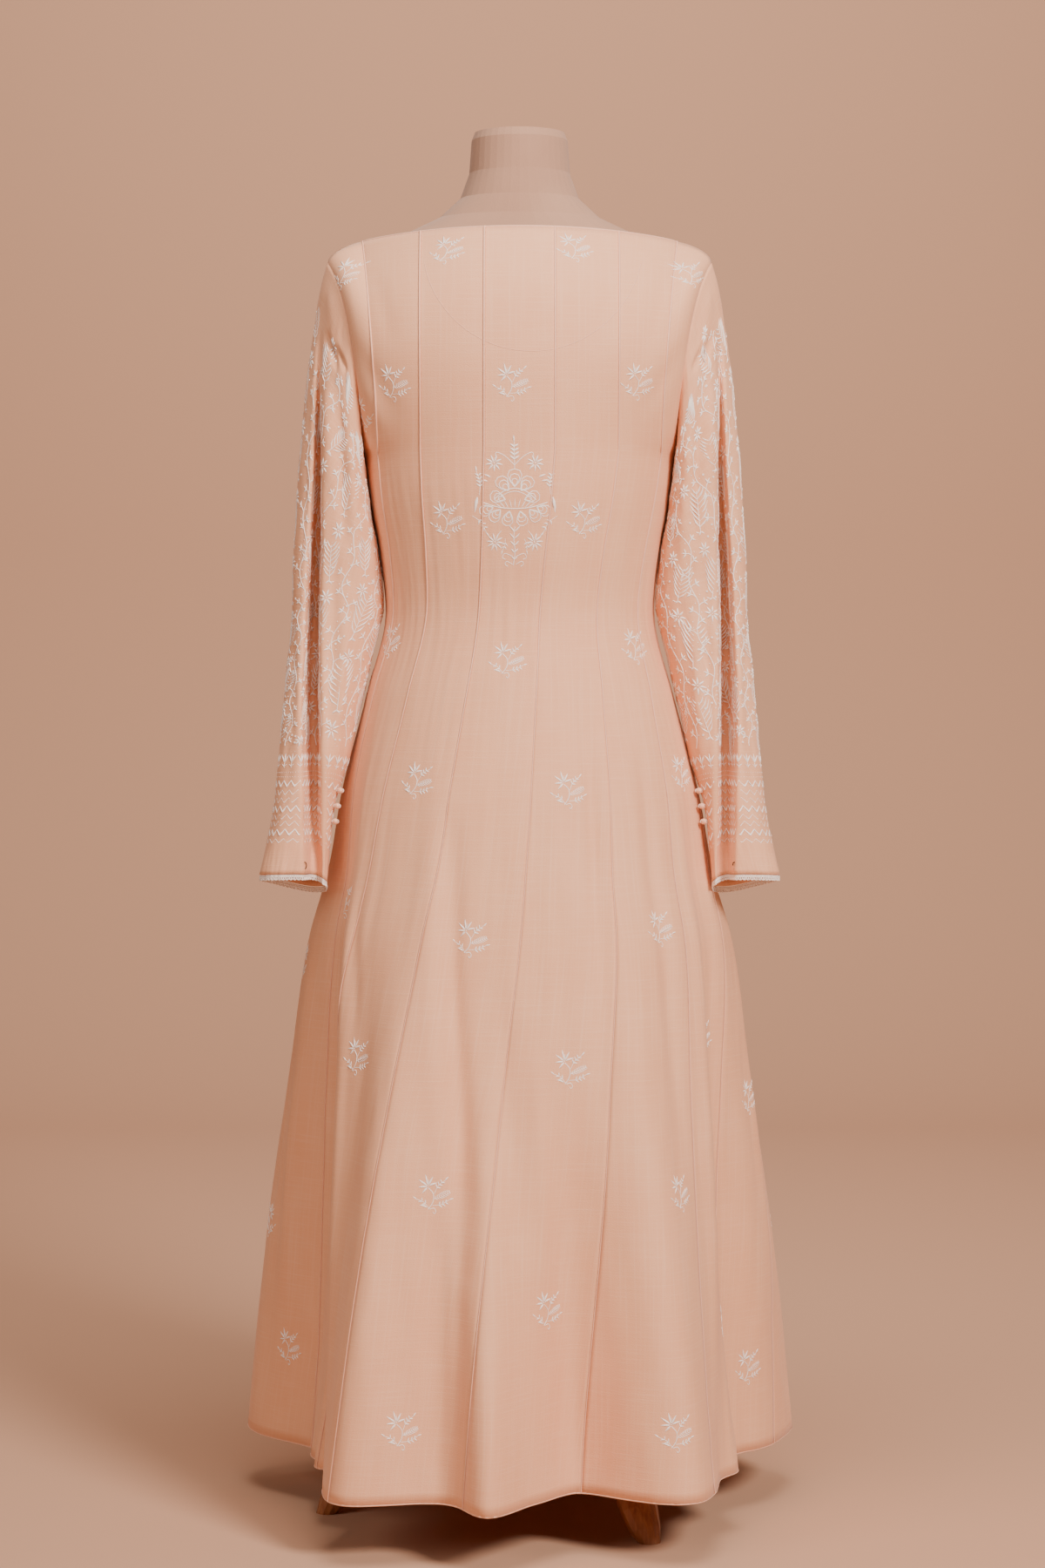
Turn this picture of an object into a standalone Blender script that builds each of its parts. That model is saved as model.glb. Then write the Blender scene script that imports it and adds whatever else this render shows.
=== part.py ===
"""Anarkali gown worn by a limbless dress form on a three-legged wooden stand.

The frame: metres, +Z up, the floor at Z = 0 under the middle of the form.
-Y is the back of the gown, +Y its front and +X the wearer's right.

The gown is cut in fourteen long panels, seven behind and seven in front, that run
from neckline and shoulder to hem and widen downwards. Two long empty sleeves hang
from the armholes. Each piece is a thin shell of its own, with a seam gap round it.
"""

import functools
import math

import bmesh
import bpy
from mathutils import Vector

# ---- driving sizes, in metres and degrees ---------------------------------------
CLOTH = 0.0016  # wall of a cloth solid
SEAM_GAP = 0.0003  # between two pieces that are sewn together
ARMHOLE_GAP = 0.0028  # between a sleeve's head and the panels round it

PANELS = 14
PANEL_COLUMNS = 4
PANEL_STEP = 360.0 / PANELS
STEP = 0.004  # a small step over the cloth, in shares of a panel, to find its directions
NECK_POINT = 2.5 * PANEL_STEP  # the seam that the shoulder seam starts from

HEM_Z = 0.062
UNDERARM_Z = 1.100

SHOULDER_TIP = Vector((0.199, 0.0, 1.300))
NECK_SIDE_Z = 1.322  # where the neckline meets the shoulder seam
NECK_BACK_Z = 1.329
NECK_FRONT_Z = 1.262

SKIRT_ROWS = (0, 0.05, 0.12, 0.20, 0.29, 0.38, 0.47, 0.56, 0.65, 0.73, 0.80, 0.845, 0.90, 0.95, 1)
YOKE_ROWS = (0.18, 0.36, 0.54, 0.70, 0.83, 0.93, 1)

# Sections of the gown without its folds, from the underarm down to the hem.
BODY_COLUMNS = ("z", "half_width", "back", "front")
BODY = (
    (1.100, 0.161, 0.118, 0.130),
    (1.050, 0.1545, 0.117, 0.139),
    (1.000, 0.1452, 0.111, 0.128),
    (0.940, 0.139, 0.103, 0.113),
    (0.850, 0.160, 0.122, 0.120),
    (0.750, 0.186, 0.147, 0.142),
    (0.667, 0.201, 0.163, 0.165),
    (0.600, 0.219, 0.175, 0.184),
    (0.450, 0.238, 0.200, 0.220),
    (0.300, 0.255, 0.224, 0.250),
    (0.150, 0.268, 0.246, 0.276),
    (0.062, 0.276, 0.258, 0.290),
)

# How far the seams swing round towards the wearer's left on their way down.
SWING_COLUMNS = ("z", "angle")
SWING = (
    (1.100, 0.0),
    (1.040, -1.2),
    (0.937, -4.2),
    (0.815, -7.8),
    (0.675, -11.0),
    (0.600, -12.8),
    (0.467, -16.6),
    (0.350, -19.0),
    (0.190, -21.6),
    (0.062, -23.5),
)

# Folds of the skirt: a ridge stands out and a valley goes in. Each starts to show
# at its start height and is full at the hem. Angles go round from the middle of
# the back, and are positive towards the wearer's right.
FOLD_COLUMNS = ("at_hem", "drift_per_m", "width", "out", "start_z")
FOLDS = (
    (-5.5, -6.0, 5.5, 0.050, 0.52),
    (-33.0, 10.0, 9.5, 0.047, 0.84),
    (-54.0, -16.0, 7.5, -0.050, 0.80),
    (-69.0, 0.0, 9.0, -0.045, 0.86),
    (-86.0, 16.0, 12.0, -0.058, 0.92),
    (-112.0, 2.0, 13.0, 0.038, 0.86),
    (-131.0, 0.0, 8.0, -0.018, 0.62),
    (-151.0, 0.0, 11.0, 0.028, 0.78),
    (-171.0, 3.0, 8.0, -0.024, 0.66),
    (14.0, -6.0, 8.5, -0.046, 0.50),
    (33.0, -10.0, 9.0, 0.040, 0.78),
    (53.0, -4.0, 7.0, -0.014, 0.48),
    (75.0, -22.0, 14.0, -0.052, 0.86),
    (111.0, -4.0, 12.0, 0.034, 0.80),
    (132.0, 0.0, 9.0, -0.020, 0.66),
    (153.0, 0.0, 10.0, 0.026, 0.74),
    (176.0, 0.0, 7.0, 0.014, 0.60),
)

# Middle line of the yoke, from the underarm up, behind and in front of the form.
YOKE_COLUMNS = ("rise", "depth")
YOKE_BACK = (
    (0.00, 0.118), (0.36, 0.121), (0.54, 0.118), (0.70, 0.110), (0.83, 0.098), (0.93, 0.084), (1.00, 0.071),
)
YOKE_FRONT = (
    (0.00, 0.130), (0.36, 0.124), (0.54, 0.118), (0.70, 0.111), (0.83, 0.103), (0.93, 0.096), (1.00, 0.090),
)
ARMHOLE_DEPTH = 0.058  # how far the armhole's edge stands behind and in front of its ends
ARMHOLE_FLARE = 1.6  # how late on its way up the armhole's edge runs out to the shoulder
EDGE_FLARE = 6  # how close to the armhole the panel's columns follow that edge
NECKLINE_BACK = 0.7  # below 1 the neckline runs flatter across its middle
NECKLINE_FRONT = 1.0
NECK_ROUND_BACK = 0.85  # below 1 the neckline bows out further before the shoulder seam
NECK_ROUND_FRONT = 0.55
SHOULDER_SLOPE = 1.3  # above 1 the shoulder seam falls off towards its tip
CREST = 0.55  # how much of the climb slows down over the top of the form

# Sections of the hanging sleeve, from the elbow to the cuff. The trough is the
# lengthwise fold behind, which reaches in between the sleeve's two halves.
SLEEVE_COLUMNS = ("z", "outer", "inner", "y", "half_depth", "trough_x", "trough_depth", "trough_width")
SLEEVE = (
    (0.940, 0.2357, 0.1420, -0.006, 0.040, 0.2150, 0.028, 0.0105),
    (0.850, 0.2445, 0.1640, -0.016, 0.038, 0.2145, 0.027, 0.0105),
    (0.790, 0.2490, 0.1780, -0.024, 0.036, 0.2135, 0.024, 0.0105),
    (0.750, 0.2525, 0.1905, -0.031, 0.034, 0.2125, 0.021, 0.0100),
    (0.705, 0.2600, 0.1965, -0.038, 0.031, 0.2120, 0.017, 0.0090),
    (0.668, 0.2680, 0.1990, -0.044, 0.029, 0.2120, 0.014, 0.0085),
)
SLEEVE_SAMPLES = 240  # points a ring is traced with before it is shared out evenly
SLEEVE_COLUMNS_ROUND = 32
SLEEVE_HEAD_STEPS = 7
# Which way, and how strongly, the sleeve's head leaves the armhole and reaches the elbow.
HEAD_LEAVES_BELOW = Vector((-0.005, 0.0, -0.13))
HEAD_LEAVES_ABOVE = Vector((-0.075, 0.0, -0.23))
HEAD_ARRIVES_BELOW = Vector((-0.002, 0.0, -0.16))
HEAD_ARRIVES_ABOVE = Vector((-0.010, 0.0, -0.28))
CUFF_DROP = 0.026  # how much lower the cuff hangs in front, towards the body

LACE_HEIGHT = 0.006
LACE_WALL = 0.0012
BUTTON_RADIUS = 0.0032
BUTTON_HEIGHTS = (0.753, 0.737, 0.721)
SLIT_SHARE = 0.46  # where round the cuff the wrist slit runs

# The dress form: neck, shoulders, bust, waist and hips in one smooth body.
# Its columns are z, half width, depth behind and depth in front.
FORM = (
    (0.720, 0.150, 0.112, 0.100),
    (0.735, 0.161, 0.122, 0.108),
    (0.780, 0.164, 0.127, 0.110),
    (0.850, 0.148, 0.110, 0.104),
    (0.940, 0.118, 0.083, 0.088),
    (1.000, 0.128, 0.092, 0.104),
    (1.050, 0.143, 0.104, 0.126),
    (1.100, 0.150, 0.107, 0.118),
    (1.160, 0.158, 0.110, 0.104),
    (1.220, 0.170, 0.107, 0.096),
    (1.260, 0.178, 0.098, 0.086),
    (1.285, 0.180, 0.086, 0.077),
    (1.303, 0.166, 0.074, 0.068),
    (1.317, 0.143, 0.064, 0.060),
    (1.330, 0.118, 0.060, 0.055),
    (1.346, 0.084, 0.056, 0.050),
    (1.366, 0.062, 0.053, 0.048),
    (1.392, 0.0525, 0.051, 0.047),
    (1.426, 0.0500, 0.050, 0.047),
    (1.434, 0.0470, 0.047, 0.044),
)
FORM_SIDES = 40

POLE_RADIUS = 0.014
POLE_TOP_Z = 0.7197
POLE_SIDES = 20
HUB_SIDES = 24
# The hub's profile from below: z, radius.
HUB_PROFILE = (
    (0.088, 0.020), (0.092, 0.034), (0.104, 0.040), (0.132, 0.040), (0.146, 0.030), (0.154, 0.019),
)

# A leg's sections from the hub out to the foot: reach, z, half width, half height.
LEG_ANGLES = (39.8, -80.2, 159.8)
LEG = (
    (0.0406, 0.1180, 0.0150, 0.0120),
    (0.0800, 0.1220, 0.0165, 0.0125),
    (0.1180, 0.1140, 0.0190, 0.0135),
    (0.1500, 0.0900, 0.0215, 0.0145),
    (0.1720, 0.0600, 0.0225, 0.0150),
    (0.1880, 0.0320, 0.0215, 0.0150),
    (0.1980, 0.0120, 0.0175, 0.0135),
    (0.2035, 0.0000, 0.0120, 0.0115),
)
LEG_SIDES = 12

COLOURS = {
    "cloth": ((0.79, 0.53, 0.42, 1.0), 0.72, 0.0),
    "lace": ((0.86, 0.70, 0.62, 1.0), 0.80, 0.0),
    "thread_button": ((0.84, 0.64, 0.55, 1.0), 0.70, 0.0),
    "form_cover": ((0.56, 0.38, 0.29, 1.0), 0.85, 0.0),
    "wood": ((0.35, 0.14, 0.06, 1.0), 0.45, 0.0),
}


# ---- helpers -----------------------------------------------------------------------
def clear_scene():
    for obj in list(bpy.data.objects):
        bpy.data.objects.remove(obj, do_unlink=True)


def smoothstep(x):
    x = min(1.0, max(0.0, x))
    return x * x * (3.0 - 2.0 * x)


@functools.lru_cache(maxsize=None)
def column(table, names, name, at):
    """Value of a table's named column where its first column is `at`, on a smooth curve."""
    rows = sorted(table)
    index = names.index(name)
    at = min(rows[-1][0], max(rows[0][0], at))
    i = 0
    while i < len(rows) - 2 and at > rows[i + 1][0]:
        i += 1
    low, high = rows[i], rows[i + 1]
    span = high[0] - low[0]

    def slope(a, b):
        return (b[index] - a[index]) / (b[0] - a[0])

    here = slope(low, high)
    before = slope(rows[i - 1], low) if i else here
    after = slope(high, rows[i + 2]) if i + 2 < len(rows) else here
    start = 0.5 * (before + here) if before * here > 0 else 0.0
    end = 0.5 * (here + after) if here * after > 0 else 0.0
    if not i:
        start = here
    if i + 2 == len(rows):
        end = here
    u = (at - low[0]) / span
    return (
        (2 * u**3 - 3 * u**2 + 1) * low[index]
        + (u**3 - 2 * u**2 + u) * span * start
        + (3 * u**2 - 2 * u**3) * high[index]
        + (u**3 - u**2) * span * end
    )


def material(name):
    found = bpy.data.materials.get(name)
    if found:
        return found
    colour, roughness, metallic = COLOURS[name]
    made = bpy.data.materials.new(name)
    made.use_nodes = True
    shader = made.node_tree.nodes["Principled BSDF"]
    shader.inputs["Base Color"].default_value = colour
    shader.inputs["Roughness"].default_value = roughness
    shader.inputs["Metallic"].default_value = metallic
    return made


def finish_object(name, bm, finish, sharp_degrees=50.0):
    bmesh.ops.recalc_face_normals(bm, faces=bm.faces)
    mesh = bpy.data.meshes.new(name)
    bm.to_mesh(mesh)
    bm.free()
    mesh.shade_smooth()
    mesh.set_sharp_from_angle(angle=math.radians(sharp_degrees))
    mesh.materials.append(material(finish))
    obj = bpy.data.objects.new(name, mesh)
    bpy.context.scene.collection.objects.link(obj)
    return obj


# ---- the gown's surface --------------------------------------------------------------
def fold_depth(angle, z):
    """How far the skirt stands out from its plain section there."""
    total = 0.0
    for row in FOLDS:
        fold = dict(zip(FOLD_COLUMNS, row))
        ramp = smoothstep((fold["start_z"] - z) / (fold["start_z"] - HEM_Z))
        centre = fold["at_hem"] + fold["drift_per_m"] * (z - HEM_Z)
        away = (angle - centre + 180.0) % 360.0 - 180.0
        total += fold["out"] * ramp * math.exp(-((away / fold["width"]) ** 2))
    return total


def skirt_point(angle, share):
    """A point between the hem (share 0) and the underarm (share 1)."""
    z = HEM_Z + (UNDERARM_Z - HEM_Z) * share
    turned_by = column(SWING, SWING_COLUMNS, "angle", z)
    a = math.radians(angle + turned_by)
    half_width = column(BODY, BODY_COLUMNS, "half_width", z)
    depth = column(BODY, BODY_COLUMNS, "back" if math.cos(a) > 0 else "front", z)
    outwards = Vector((math.sin(a) / half_width, -math.cos(a) / depth, 0.0)).normalized()
    plain = Vector((half_width * math.sin(a), -depth * math.cos(a), z))
    return plain + outwards * fold_depth(angle + turned_by, z)


def yoke_point(angle, rise, in_front):
    """A point between the underarm (rise 0) and the neckline or shoulder (rise 1).

    The angle is that of the panel's column, from -90 to 90 on either side of the form.
    """
    a = math.radians(angle)
    side = math.copysign(1.0, angle)
    edge = abs(math.sin(a))
    half_width = BODY[0][1]
    armhole_x = half_width + (SHOULDER_TIP.x - half_width) * rise**ARMHOLE_FLARE
    armhole_y = ARMHOLE_DEPTH * math.sin(math.pi * rise**0.75) ** 0.8 if 0 < rise < 1 else 0.0

    neck_share = min(1.0, abs(angle) / NECK_POINT)
    centre_z = NECK_FRONT_Z if in_front else NECK_BACK_Z
    round_neck = math.cos(0.5 * math.pi * neck_share)
    neckline = NECKLINE_FRONT if in_front else NECKLINE_BACK
    neck_z = NECK_SIDE_Z + (centre_z - NECK_SIDE_Z) * round_neck**neckline
    past_neck = max(0.0, (abs(angle) - NECK_POINT) / (90.0 - NECK_POINT))
    top_z = neck_z + (SHOULDER_TIP.z - NECK_SIDE_Z) * past_neck**SHOULDER_SLOPE

    # Near the shoulder the column runs over the top of the form, so it slows its climb.
    crest = smoothstep(past_neck + 0.35 * neck_share)
    climb = (1.0 - CREST * crest) * rise + CREST * crest * math.sin(0.5 * math.pi * rise)

    x = side * edge * (half_width + (armhole_x - half_width) * edge**EDGE_FLARE)
    table = YOKE_FRONT if in_front else YOKE_BACK
    middle = column(table, YOKE_COLUMNS, "depth", rise)
    at_neck = rise**3
    bow = NECK_ROUND_FRONT if in_front else NECK_ROUND_BACK
    across = (1.0 - at_neck) * math.cos(a) + at_neck * round_neck**bow
    depth = armhole_y + (middle - armhole_y) * across
    return Vector((x, depth if in_front else -depth, UNDERARM_Z + (top_z - UNDERARM_Z) * climb))


def gown_point(panel, across, row):
    """A point of a panel: across goes 0..1 between its seams, row 0..2 from hem over underarm to top."""
    angle = -90.0 + (panel + across) * PANEL_STEP
    if row <= 1.0:
        return skirt_point(angle, row)
    if panel < PANELS // 2:
        return yoke_point(angle, row - 1.0, False)
    return yoke_point(180.0 - angle, row - 1.0, True)


def gown_tangent(panel, across, row):
    """The level direction along the cloth there, from one seam towards the next."""
    tangent = gown_point(panel, across + STEP, row) - gown_point(panel, across - STEP, row)
    if on_shoulder(panel, across, row):
        tangent.y = 0.0
    return tangent.normalized()


def on_shoulder(panel, across, row):
    angle = (panel + across) * PANEL_STEP % 180.0 - 90.0
    return row == 2.0 and (abs(angle) > NECK_POINT - 0.01 or panel in (0, 6, 7, 13))


def gown_normal(panel, across, row):
    """The outward direction of the cloth there."""
    top = 1.0 if row == 1.0 else 2.0
    up = gown_point(panel, across, min(top, row + STEP)) - gown_point(panel, across, max(0.0, row - STEP))
    normal = gown_tangent(panel, across, row).cross(up)
    if on_shoulder(panel, across, row):
        normal.y = 0.0
    return normal.normalized()


def shell(name, points, normals, wall, finish):
    """A closed thin shell on a grid of points: its outer side, its inner side and its rim."""
    bm = bmesh.new()
    rows, columns = len(points), len(points[0])
    sides = [
        [
            [bm.verts.new(points[i][j] + normals[i][j] * wall * 0.5 * sign) for j in range(columns)]
            for i in range(rows)
        ]
        for sign in (1, -1)
    ]
    outer, inner = sides
    for i in range(rows - 1):
        for j in range(columns - 1):
            bm.faces.new((outer[i][j], outer[i][j + 1], outer[i + 1][j + 1], outer[i + 1][j]))
            bm.faces.new((inner[i][j], inner[i + 1][j], inner[i + 1][j + 1], inner[i][j + 1]))
    rim = [(0, j) for j in range(columns)]
    rim += [(i, columns - 1) for i in range(1, rows)]
    rim += [(rows - 1, j) for j in range(columns - 2, -1, -1)]
    rim += [(i, 0) for i in range(rows - 2, 0, -1)]
    # Rims that face each other across a seam are split along the same diagonals.
    for (i, j), (k, m) in zip(rim, rim[1:] + rim[:1]):
        climb = (points[k][m] - points[i][j]).dot(Vector((0.37, 0.11, 1.0)))
        if climb > 0:
            bm.faces.new((outer[i][j], inner[i][j], inner[k][m]))
            bm.faces.new((outer[i][j], inner[k][m], outer[k][m]))
        else:
            bm.faces.new((outer[i][j], inner[i][j], outer[k][m]))
            bm.faces.new((inner[i][j], inner[k][m], outer[k][m]))
    return finish_object(name, bm, finish)


PANEL_NAMES = (
    "back_side_left",
    "back_outer_left",
    "back_inner_left",
    "back_centre",
    "back_inner_right",
    "back_outer_right",
    "back_side_right",
    "front_side_right",
    "front_outer_right",
    "front_inner_right",
    "front_centre",
    "front_inner_left",
    "front_outer_left",
    "front_side_left",
)


def build_panel(panel):
    """One long panel of the gown, held back from its seams by half the seam gap."""
    rows = list(SKIRT_ROWS) + [1.0 + rise for rise in YOKE_ROWS]
    shares = [j / PANEL_COLUMNS for j in range(PANEL_COLUMNS + 1)]
    points = [[gown_point(panel, across, row) for across in shares] for row in rows]
    normals = [[gown_normal(panel, across, row) for across in shares] for row in rows]
    for line, row in zip(points, rows):
        line[0] += gown_tangent(panel, 0.0, row) * SEAM_GAP / 2
        line[-1] -= gown_tangent(panel, 1.0, row) * SEAM_GAP / 2
    for j, across in enumerate(shares):
        if on_shoulder(panel, across, 2.0):
            points[-1][j].y += math.copysign(SEAM_GAP / 2, panel - 6.5)
    return shell("panel_" + PANEL_NAMES[panel], points, normals, CLOTH, "cloth")


# ---- sleeves -------------------------------------------------------------------------
def armhole_point(share):
    """Round the left armhole: share 0 at the shoulder tip, 0.25 behind, 0.5 at the underarm."""
    if share <= 0.5:
        return yoke_point(-90.0, 1.0 - 2.0 * share, False)
    return yoke_point(-90.0, 2.0 * share - 1.0, True)


def sleeve_section(share, z):
    """Round the left sleeve at a height, from its outer side over the back to the inner side."""
    outer = column(SLEEVE, SLEEVE_COLUMNS, "outer", z)
    inner = column(SLEEVE, SLEEVE_COLUMNS, "inner", z)
    half_depth = column(SLEEVE, SLEEVE_COLUMNS, "half_depth", z)
    a = 2.0 * math.pi * share
    x = -0.5 * (outer + inner) - 0.5 * (outer - inner) * math.cos(a)
    y = column(SLEEVE, SLEEVE_COLUMNS, "y", z) - half_depth * math.sin(a)
    if share < 0.5:
        trough_width = column(SLEEVE, SLEEVE_COLUMNS, "trough_width", z)
        away = (x + column(SLEEVE, SLEEVE_COLUMNS, "trough_x", z)) / trough_width
        y += column(SLEEVE, SLEEVE_COLUMNS, "trough_depth", z) * math.exp(-(away**2)) * math.sin(a) ** 0.5
    low = smoothstep((SLEEVE[0][0] - z) / (SLEEVE[0][0] - SLEEVE[-1][0]))
    drop = low * CUFF_DROP * 0.25 * (1.0 - math.sin(a)) * (1.0 - 0.6 * math.cos(a))
    return Vector((x, y, z - drop))


def sleeve_head_point(share, along):
    """Between the armhole (along 0) and the elbow section (along 1), on a curve that leaves
    the armhole outwards and arrives straight down."""
    start = armhole_point(share) + Vector((-ARMHOLE_GAP, 0.0, 0.0))
    end = sleeve_section(share, SLEEVE[0][0])
    top = 0.5 + 0.5 * math.cos(2.0 * math.pi * share)
    leave = HEAD_LEAVES_BELOW.lerp(HEAD_LEAVES_ABOVE, top)
    arrive = HEAD_ARRIVES_BELOW.lerp(HEAD_ARRIVES_ABOVE, top)
    u = along
    return (
        (2 * u**3 - 3 * u**2 + 1) * start
        + (u**3 - 2 * u**2 + u) * leave
        + (3 * u**2 - 2 * u**3) * end
        + (u**3 - u**2) * arrive
    )


def evenly(points, count):
    """That many points at even distances round a closed line of points."""
    closed = points + points[:1]
    lengths = [(b - a).length for a, b in zip(closed, closed[1:])]
    step = sum(lengths) / count
    made, i, passed = [], 0, 0.0
    for k in range(count):
        while passed + lengths[i] < k * step:
            passed += lengths[i]
            i += 1
        made.append(closed[i].lerp(closed[i + 1], (k * step - passed) / lengths[i]))
    return made


def sleeve_rings():
    """The sleeve's middle surface as rings of points, from the armhole to the cuff."""
    shares = [j / SLEEVE_SAMPLES for j in range(SLEEVE_SAMPLES)]
    steps = [i / SLEEVE_HEAD_STEPS for i in range(SLEEVE_HEAD_STEPS)]
    lines = [[sleeve_head_point(s, step) for s in shares] for step in steps]
    lines += [[sleeve_section(s, row[0]) for s in shares] for row in SLEEVE]
    return [evenly(line, SLEEVE_COLUMNS_ROUND) for line in lines]


def ring_normals(rings):
    normals = []
    for i, ring in enumerate(rings):
        above, below = rings[max(0, i - 1)], rings[min(len(rings) - 1, i + 1)]
        line = []
        for j in range(len(ring)):
            along = ring[(j + 1) % len(ring)] - ring[j - 1]
            down = below[j] - above[j]
            normal = along.cross(down) * -1.0
            if i == len(rings) - 1:
                normal.z = 0.0
            line.append(normal.normalized())
        normals.append(line)
    return normals


def tube_shell(name, rings, normals, wall, mirrored, finish):
    """An open tube of that wall on rings of points, turned over to the other side if mirrored."""
    side = -1.0 if mirrored else 1.0
    bm = bmesh.new()

    def loop(ring, line, sign):
        made = []
        for point, normal in zip(ring, line):
            place = point + normal * wall * 0.5 * sign
            made.append(bm.verts.new((place.x * side, place.y, place.z)))
        return made

    outer = [loop(r, n, 1) for r, n in zip(rings, normals)]
    inner = [loop(r, n, -1) for r, n in zip(rings, normals)]
    count = len(rings[0])
    for i in range(len(rings) - 1):
        for j in range(count):
            k = (j + 1) % count
            bm.faces.new((outer[i][j], outer[i][k], outer[i + 1][k], outer[i + 1][j]))
            bm.faces.new((inner[i][k], inner[i][j], inner[i + 1][j], inner[i + 1][k]))
    for i in (0, len(rings) - 1):
        for j in range(count):
            k = (j + 1) % count
            bm.faces.new((outer[i][j], outer[i][k], inner[i][k], inner[i][j]))
    return finish_object(name, bm, finish)


def build_sleeve(side_name, mirrored):
    rings = sleeve_rings()
    tube_shell("sleeve_" + side_name, rings, ring_normals(rings), CLOTH, mirrored, "cloth")


def build_cuff_lace(side_name, mirrored):
    """The narrow picot lace below the cuff's edge."""
    last = sleeve_rings()[-1]
    up = Vector((0.0, 0.0, 1.0))
    rings = [[p - up * (2 * SEAM_GAP + LACE_HEIGHT * i / 2) for p in last] for i in range(3)]
    level = ring_normals(rings)[-1]
    tube_shell("cuff_lace_" + side_name, rings, [level] * len(rings), LACE_WALL, mirrored, "lace")


def build_cuff_buttons(side_name, mirrored):
    """Small cloth buttons down the wrist slit, on the sleeve's inner edge behind."""
    side = -1.0 if mirrored else 1.0
    rings = sleeve_rings()
    normals = ring_normals(rings)
    wrist = sleeve_section(SLIT_SHARE, BUTTON_HEIGHTS[1])
    nearest = min(range(SLEEVE_COLUMNS_ROUND), key=lambda j: (rings[-3][j].xy - wrist.xy).length)
    for number, height in enumerate(BUTTON_HEIGHTS, 1):
        for i in range(len(rings) - 1):
            high, low = rings[i][nearest], rings[i + 1][nearest]
            if low.z <= height <= high.z:
                share = (high.z - height) / (high.z - low.z)
                place = high.lerp(low, share)
                normal = normals[i][nearest].lerp(normals[i + 1][nearest], share).normalized()
        place = place + normal * (CLOTH / 2 + BUTTON_RADIUS + 2 * SEAM_GAP)
        bm = bmesh.new()
        bmesh.ops.create_uvsphere(bm, u_segments=8, v_segments=6, radius=BUTTON_RADIUS)
        obj = finish_object(f"cuff_button_{side_name}_{number}", bm, "thread_button")
        obj.location = (place.x * side, place.y, place.z)


# ---- dress form and stand ------------------------------------------------------------
def build_form():
    """The covered torso with its neck, closed above and below."""
    bm = bmesh.new()
    loops = []
    for z, half_width, back, front in FORM:
        loop = []
        for j in range(FORM_SIDES):
            a = 2.0 * math.pi * j / FORM_SIDES
            depth = back if math.cos(a) > 0 else front
            loop.append(bm.verts.new((half_width * math.sin(a), -depth * math.cos(a), z)))
        loops.append(loop)
    for low, high in zip(loops, loops[1:]):
        for j in range(FORM_SIDES):
            k = (j + 1) % FORM_SIDES
            bm.faces.new((low[j], low[k], high[k], high[j]))
    bm.faces.new(loops[0])
    bm.faces.new(loops[-1])
    finish_object("form_torso", bm, "form_cover", 40.0)


def turned(name, profile, sides, finish):
    """A turned solid about the Z axis, from (z, radius) pairs, closed at both ends."""
    bm = bmesh.new()
    loops = []
    for z, radius in profile:
        ring = bmesh.ops.create_circle(bm, segments=sides, radius=radius)["verts"]
        bmesh.ops.translate(bm, verts=ring, vec=(0.0, 0.0, z))
        loops.append(ring)
    for low, high in zip(loops, loops[1:]):
        for j in range(sides):
            k = (j + 1) % sides
            bm.faces.new((low[j], low[k], high[k], high[j]))
    bm.faces.new(loops[0])
    bm.faces.new(loops[-1])
    return finish_object(name, bm, finish)


def build_stand():
    foot = HUB_PROFILE[-1][0] + SEAM_GAP
    turned("stand_pole", ((foot, POLE_RADIUS), (POLE_TOP_Z, POLE_RADIUS)), POLE_SIDES, "wood")
    turned("stand_hub", HUB_PROFILE, HUB_SIDES, "wood")


def build_leg(number, angle):
    """A curved wooden leg that leaves the hub level and comes down on a tapered foot."""
    a = math.radians(angle)
    out = Vector((math.sin(a), -math.cos(a), 0.0))
    across = Vector((math.cos(a), math.sin(a), 0.0))
    centres = [out * reach + Vector((0.0, 0.0, z)) for reach, z, _, _ in LEG]
    bm = bmesh.new()
    loops = []
    for i, (_, _, half_width, half_height) in enumerate(LEG):
        ahead = centres[min(i + 1, len(LEG) - 1)] - centres[max(i - 1, 0)]
        if i == 0:
            ahead = out
        if i == len(LEG) - 1:
            ahead = Vector((0.0, 0.0, -1.0))
        up = across.cross(ahead).normalized()
        loop = []
        for j in range(LEG_SIDES):
            t = 2.0 * math.pi * j / LEG_SIDES
            place = centres[i] + across * half_width * math.cos(t) + up * half_height * math.sin(t)
            loop.append(bm.verts.new(place))
        loops.append(loop)
    for low, high in zip(loops, loops[1:]):
        for j in range(LEG_SIDES):
            k = (j + 1) % LEG_SIDES
            bm.faces.new((low[j], low[k], high[k], high[j]))
    bm.faces.new(loops[0])
    bm.faces.new(loops[-1])
    finish_object(f"stand_leg_{number}", bm, "wood")


def centre_on_origin():
    """Put the middle of the whole object's box on the Z axis."""
    corners = [obj.location + vertex.co for obj in bpy.data.objects for vertex in obj.data.vertices]
    for axis in (0, 1):
        values = [corner[axis] for corner in corners]
        middle = 0.5 * (min(values) + max(values))
        for obj in bpy.data.objects:
            for vertex in obj.data.vertices:
                vertex.co[axis] -= middle


def main():
    clear_scene()
    for panel in range(PANELS):
        build_panel(panel)
    for side_name, mirrored in (("left", False), ("right", True)):
        build_sleeve(side_name, mirrored)
        build_cuff_lace(side_name, mirrored)
        build_cuff_buttons(side_name, mirrored)
    build_form()
    build_stand()
    for number, angle in enumerate(LEG_ANGLES, 1):
        build_leg(number, angle)
    centre_on_origin()


main()
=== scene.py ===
import cmath
import functools
import math
import random

import bmesh
import bpy
from mathutils import Matrix, Vector, noise
from mathutils.bvhtree import BVHTree


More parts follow.
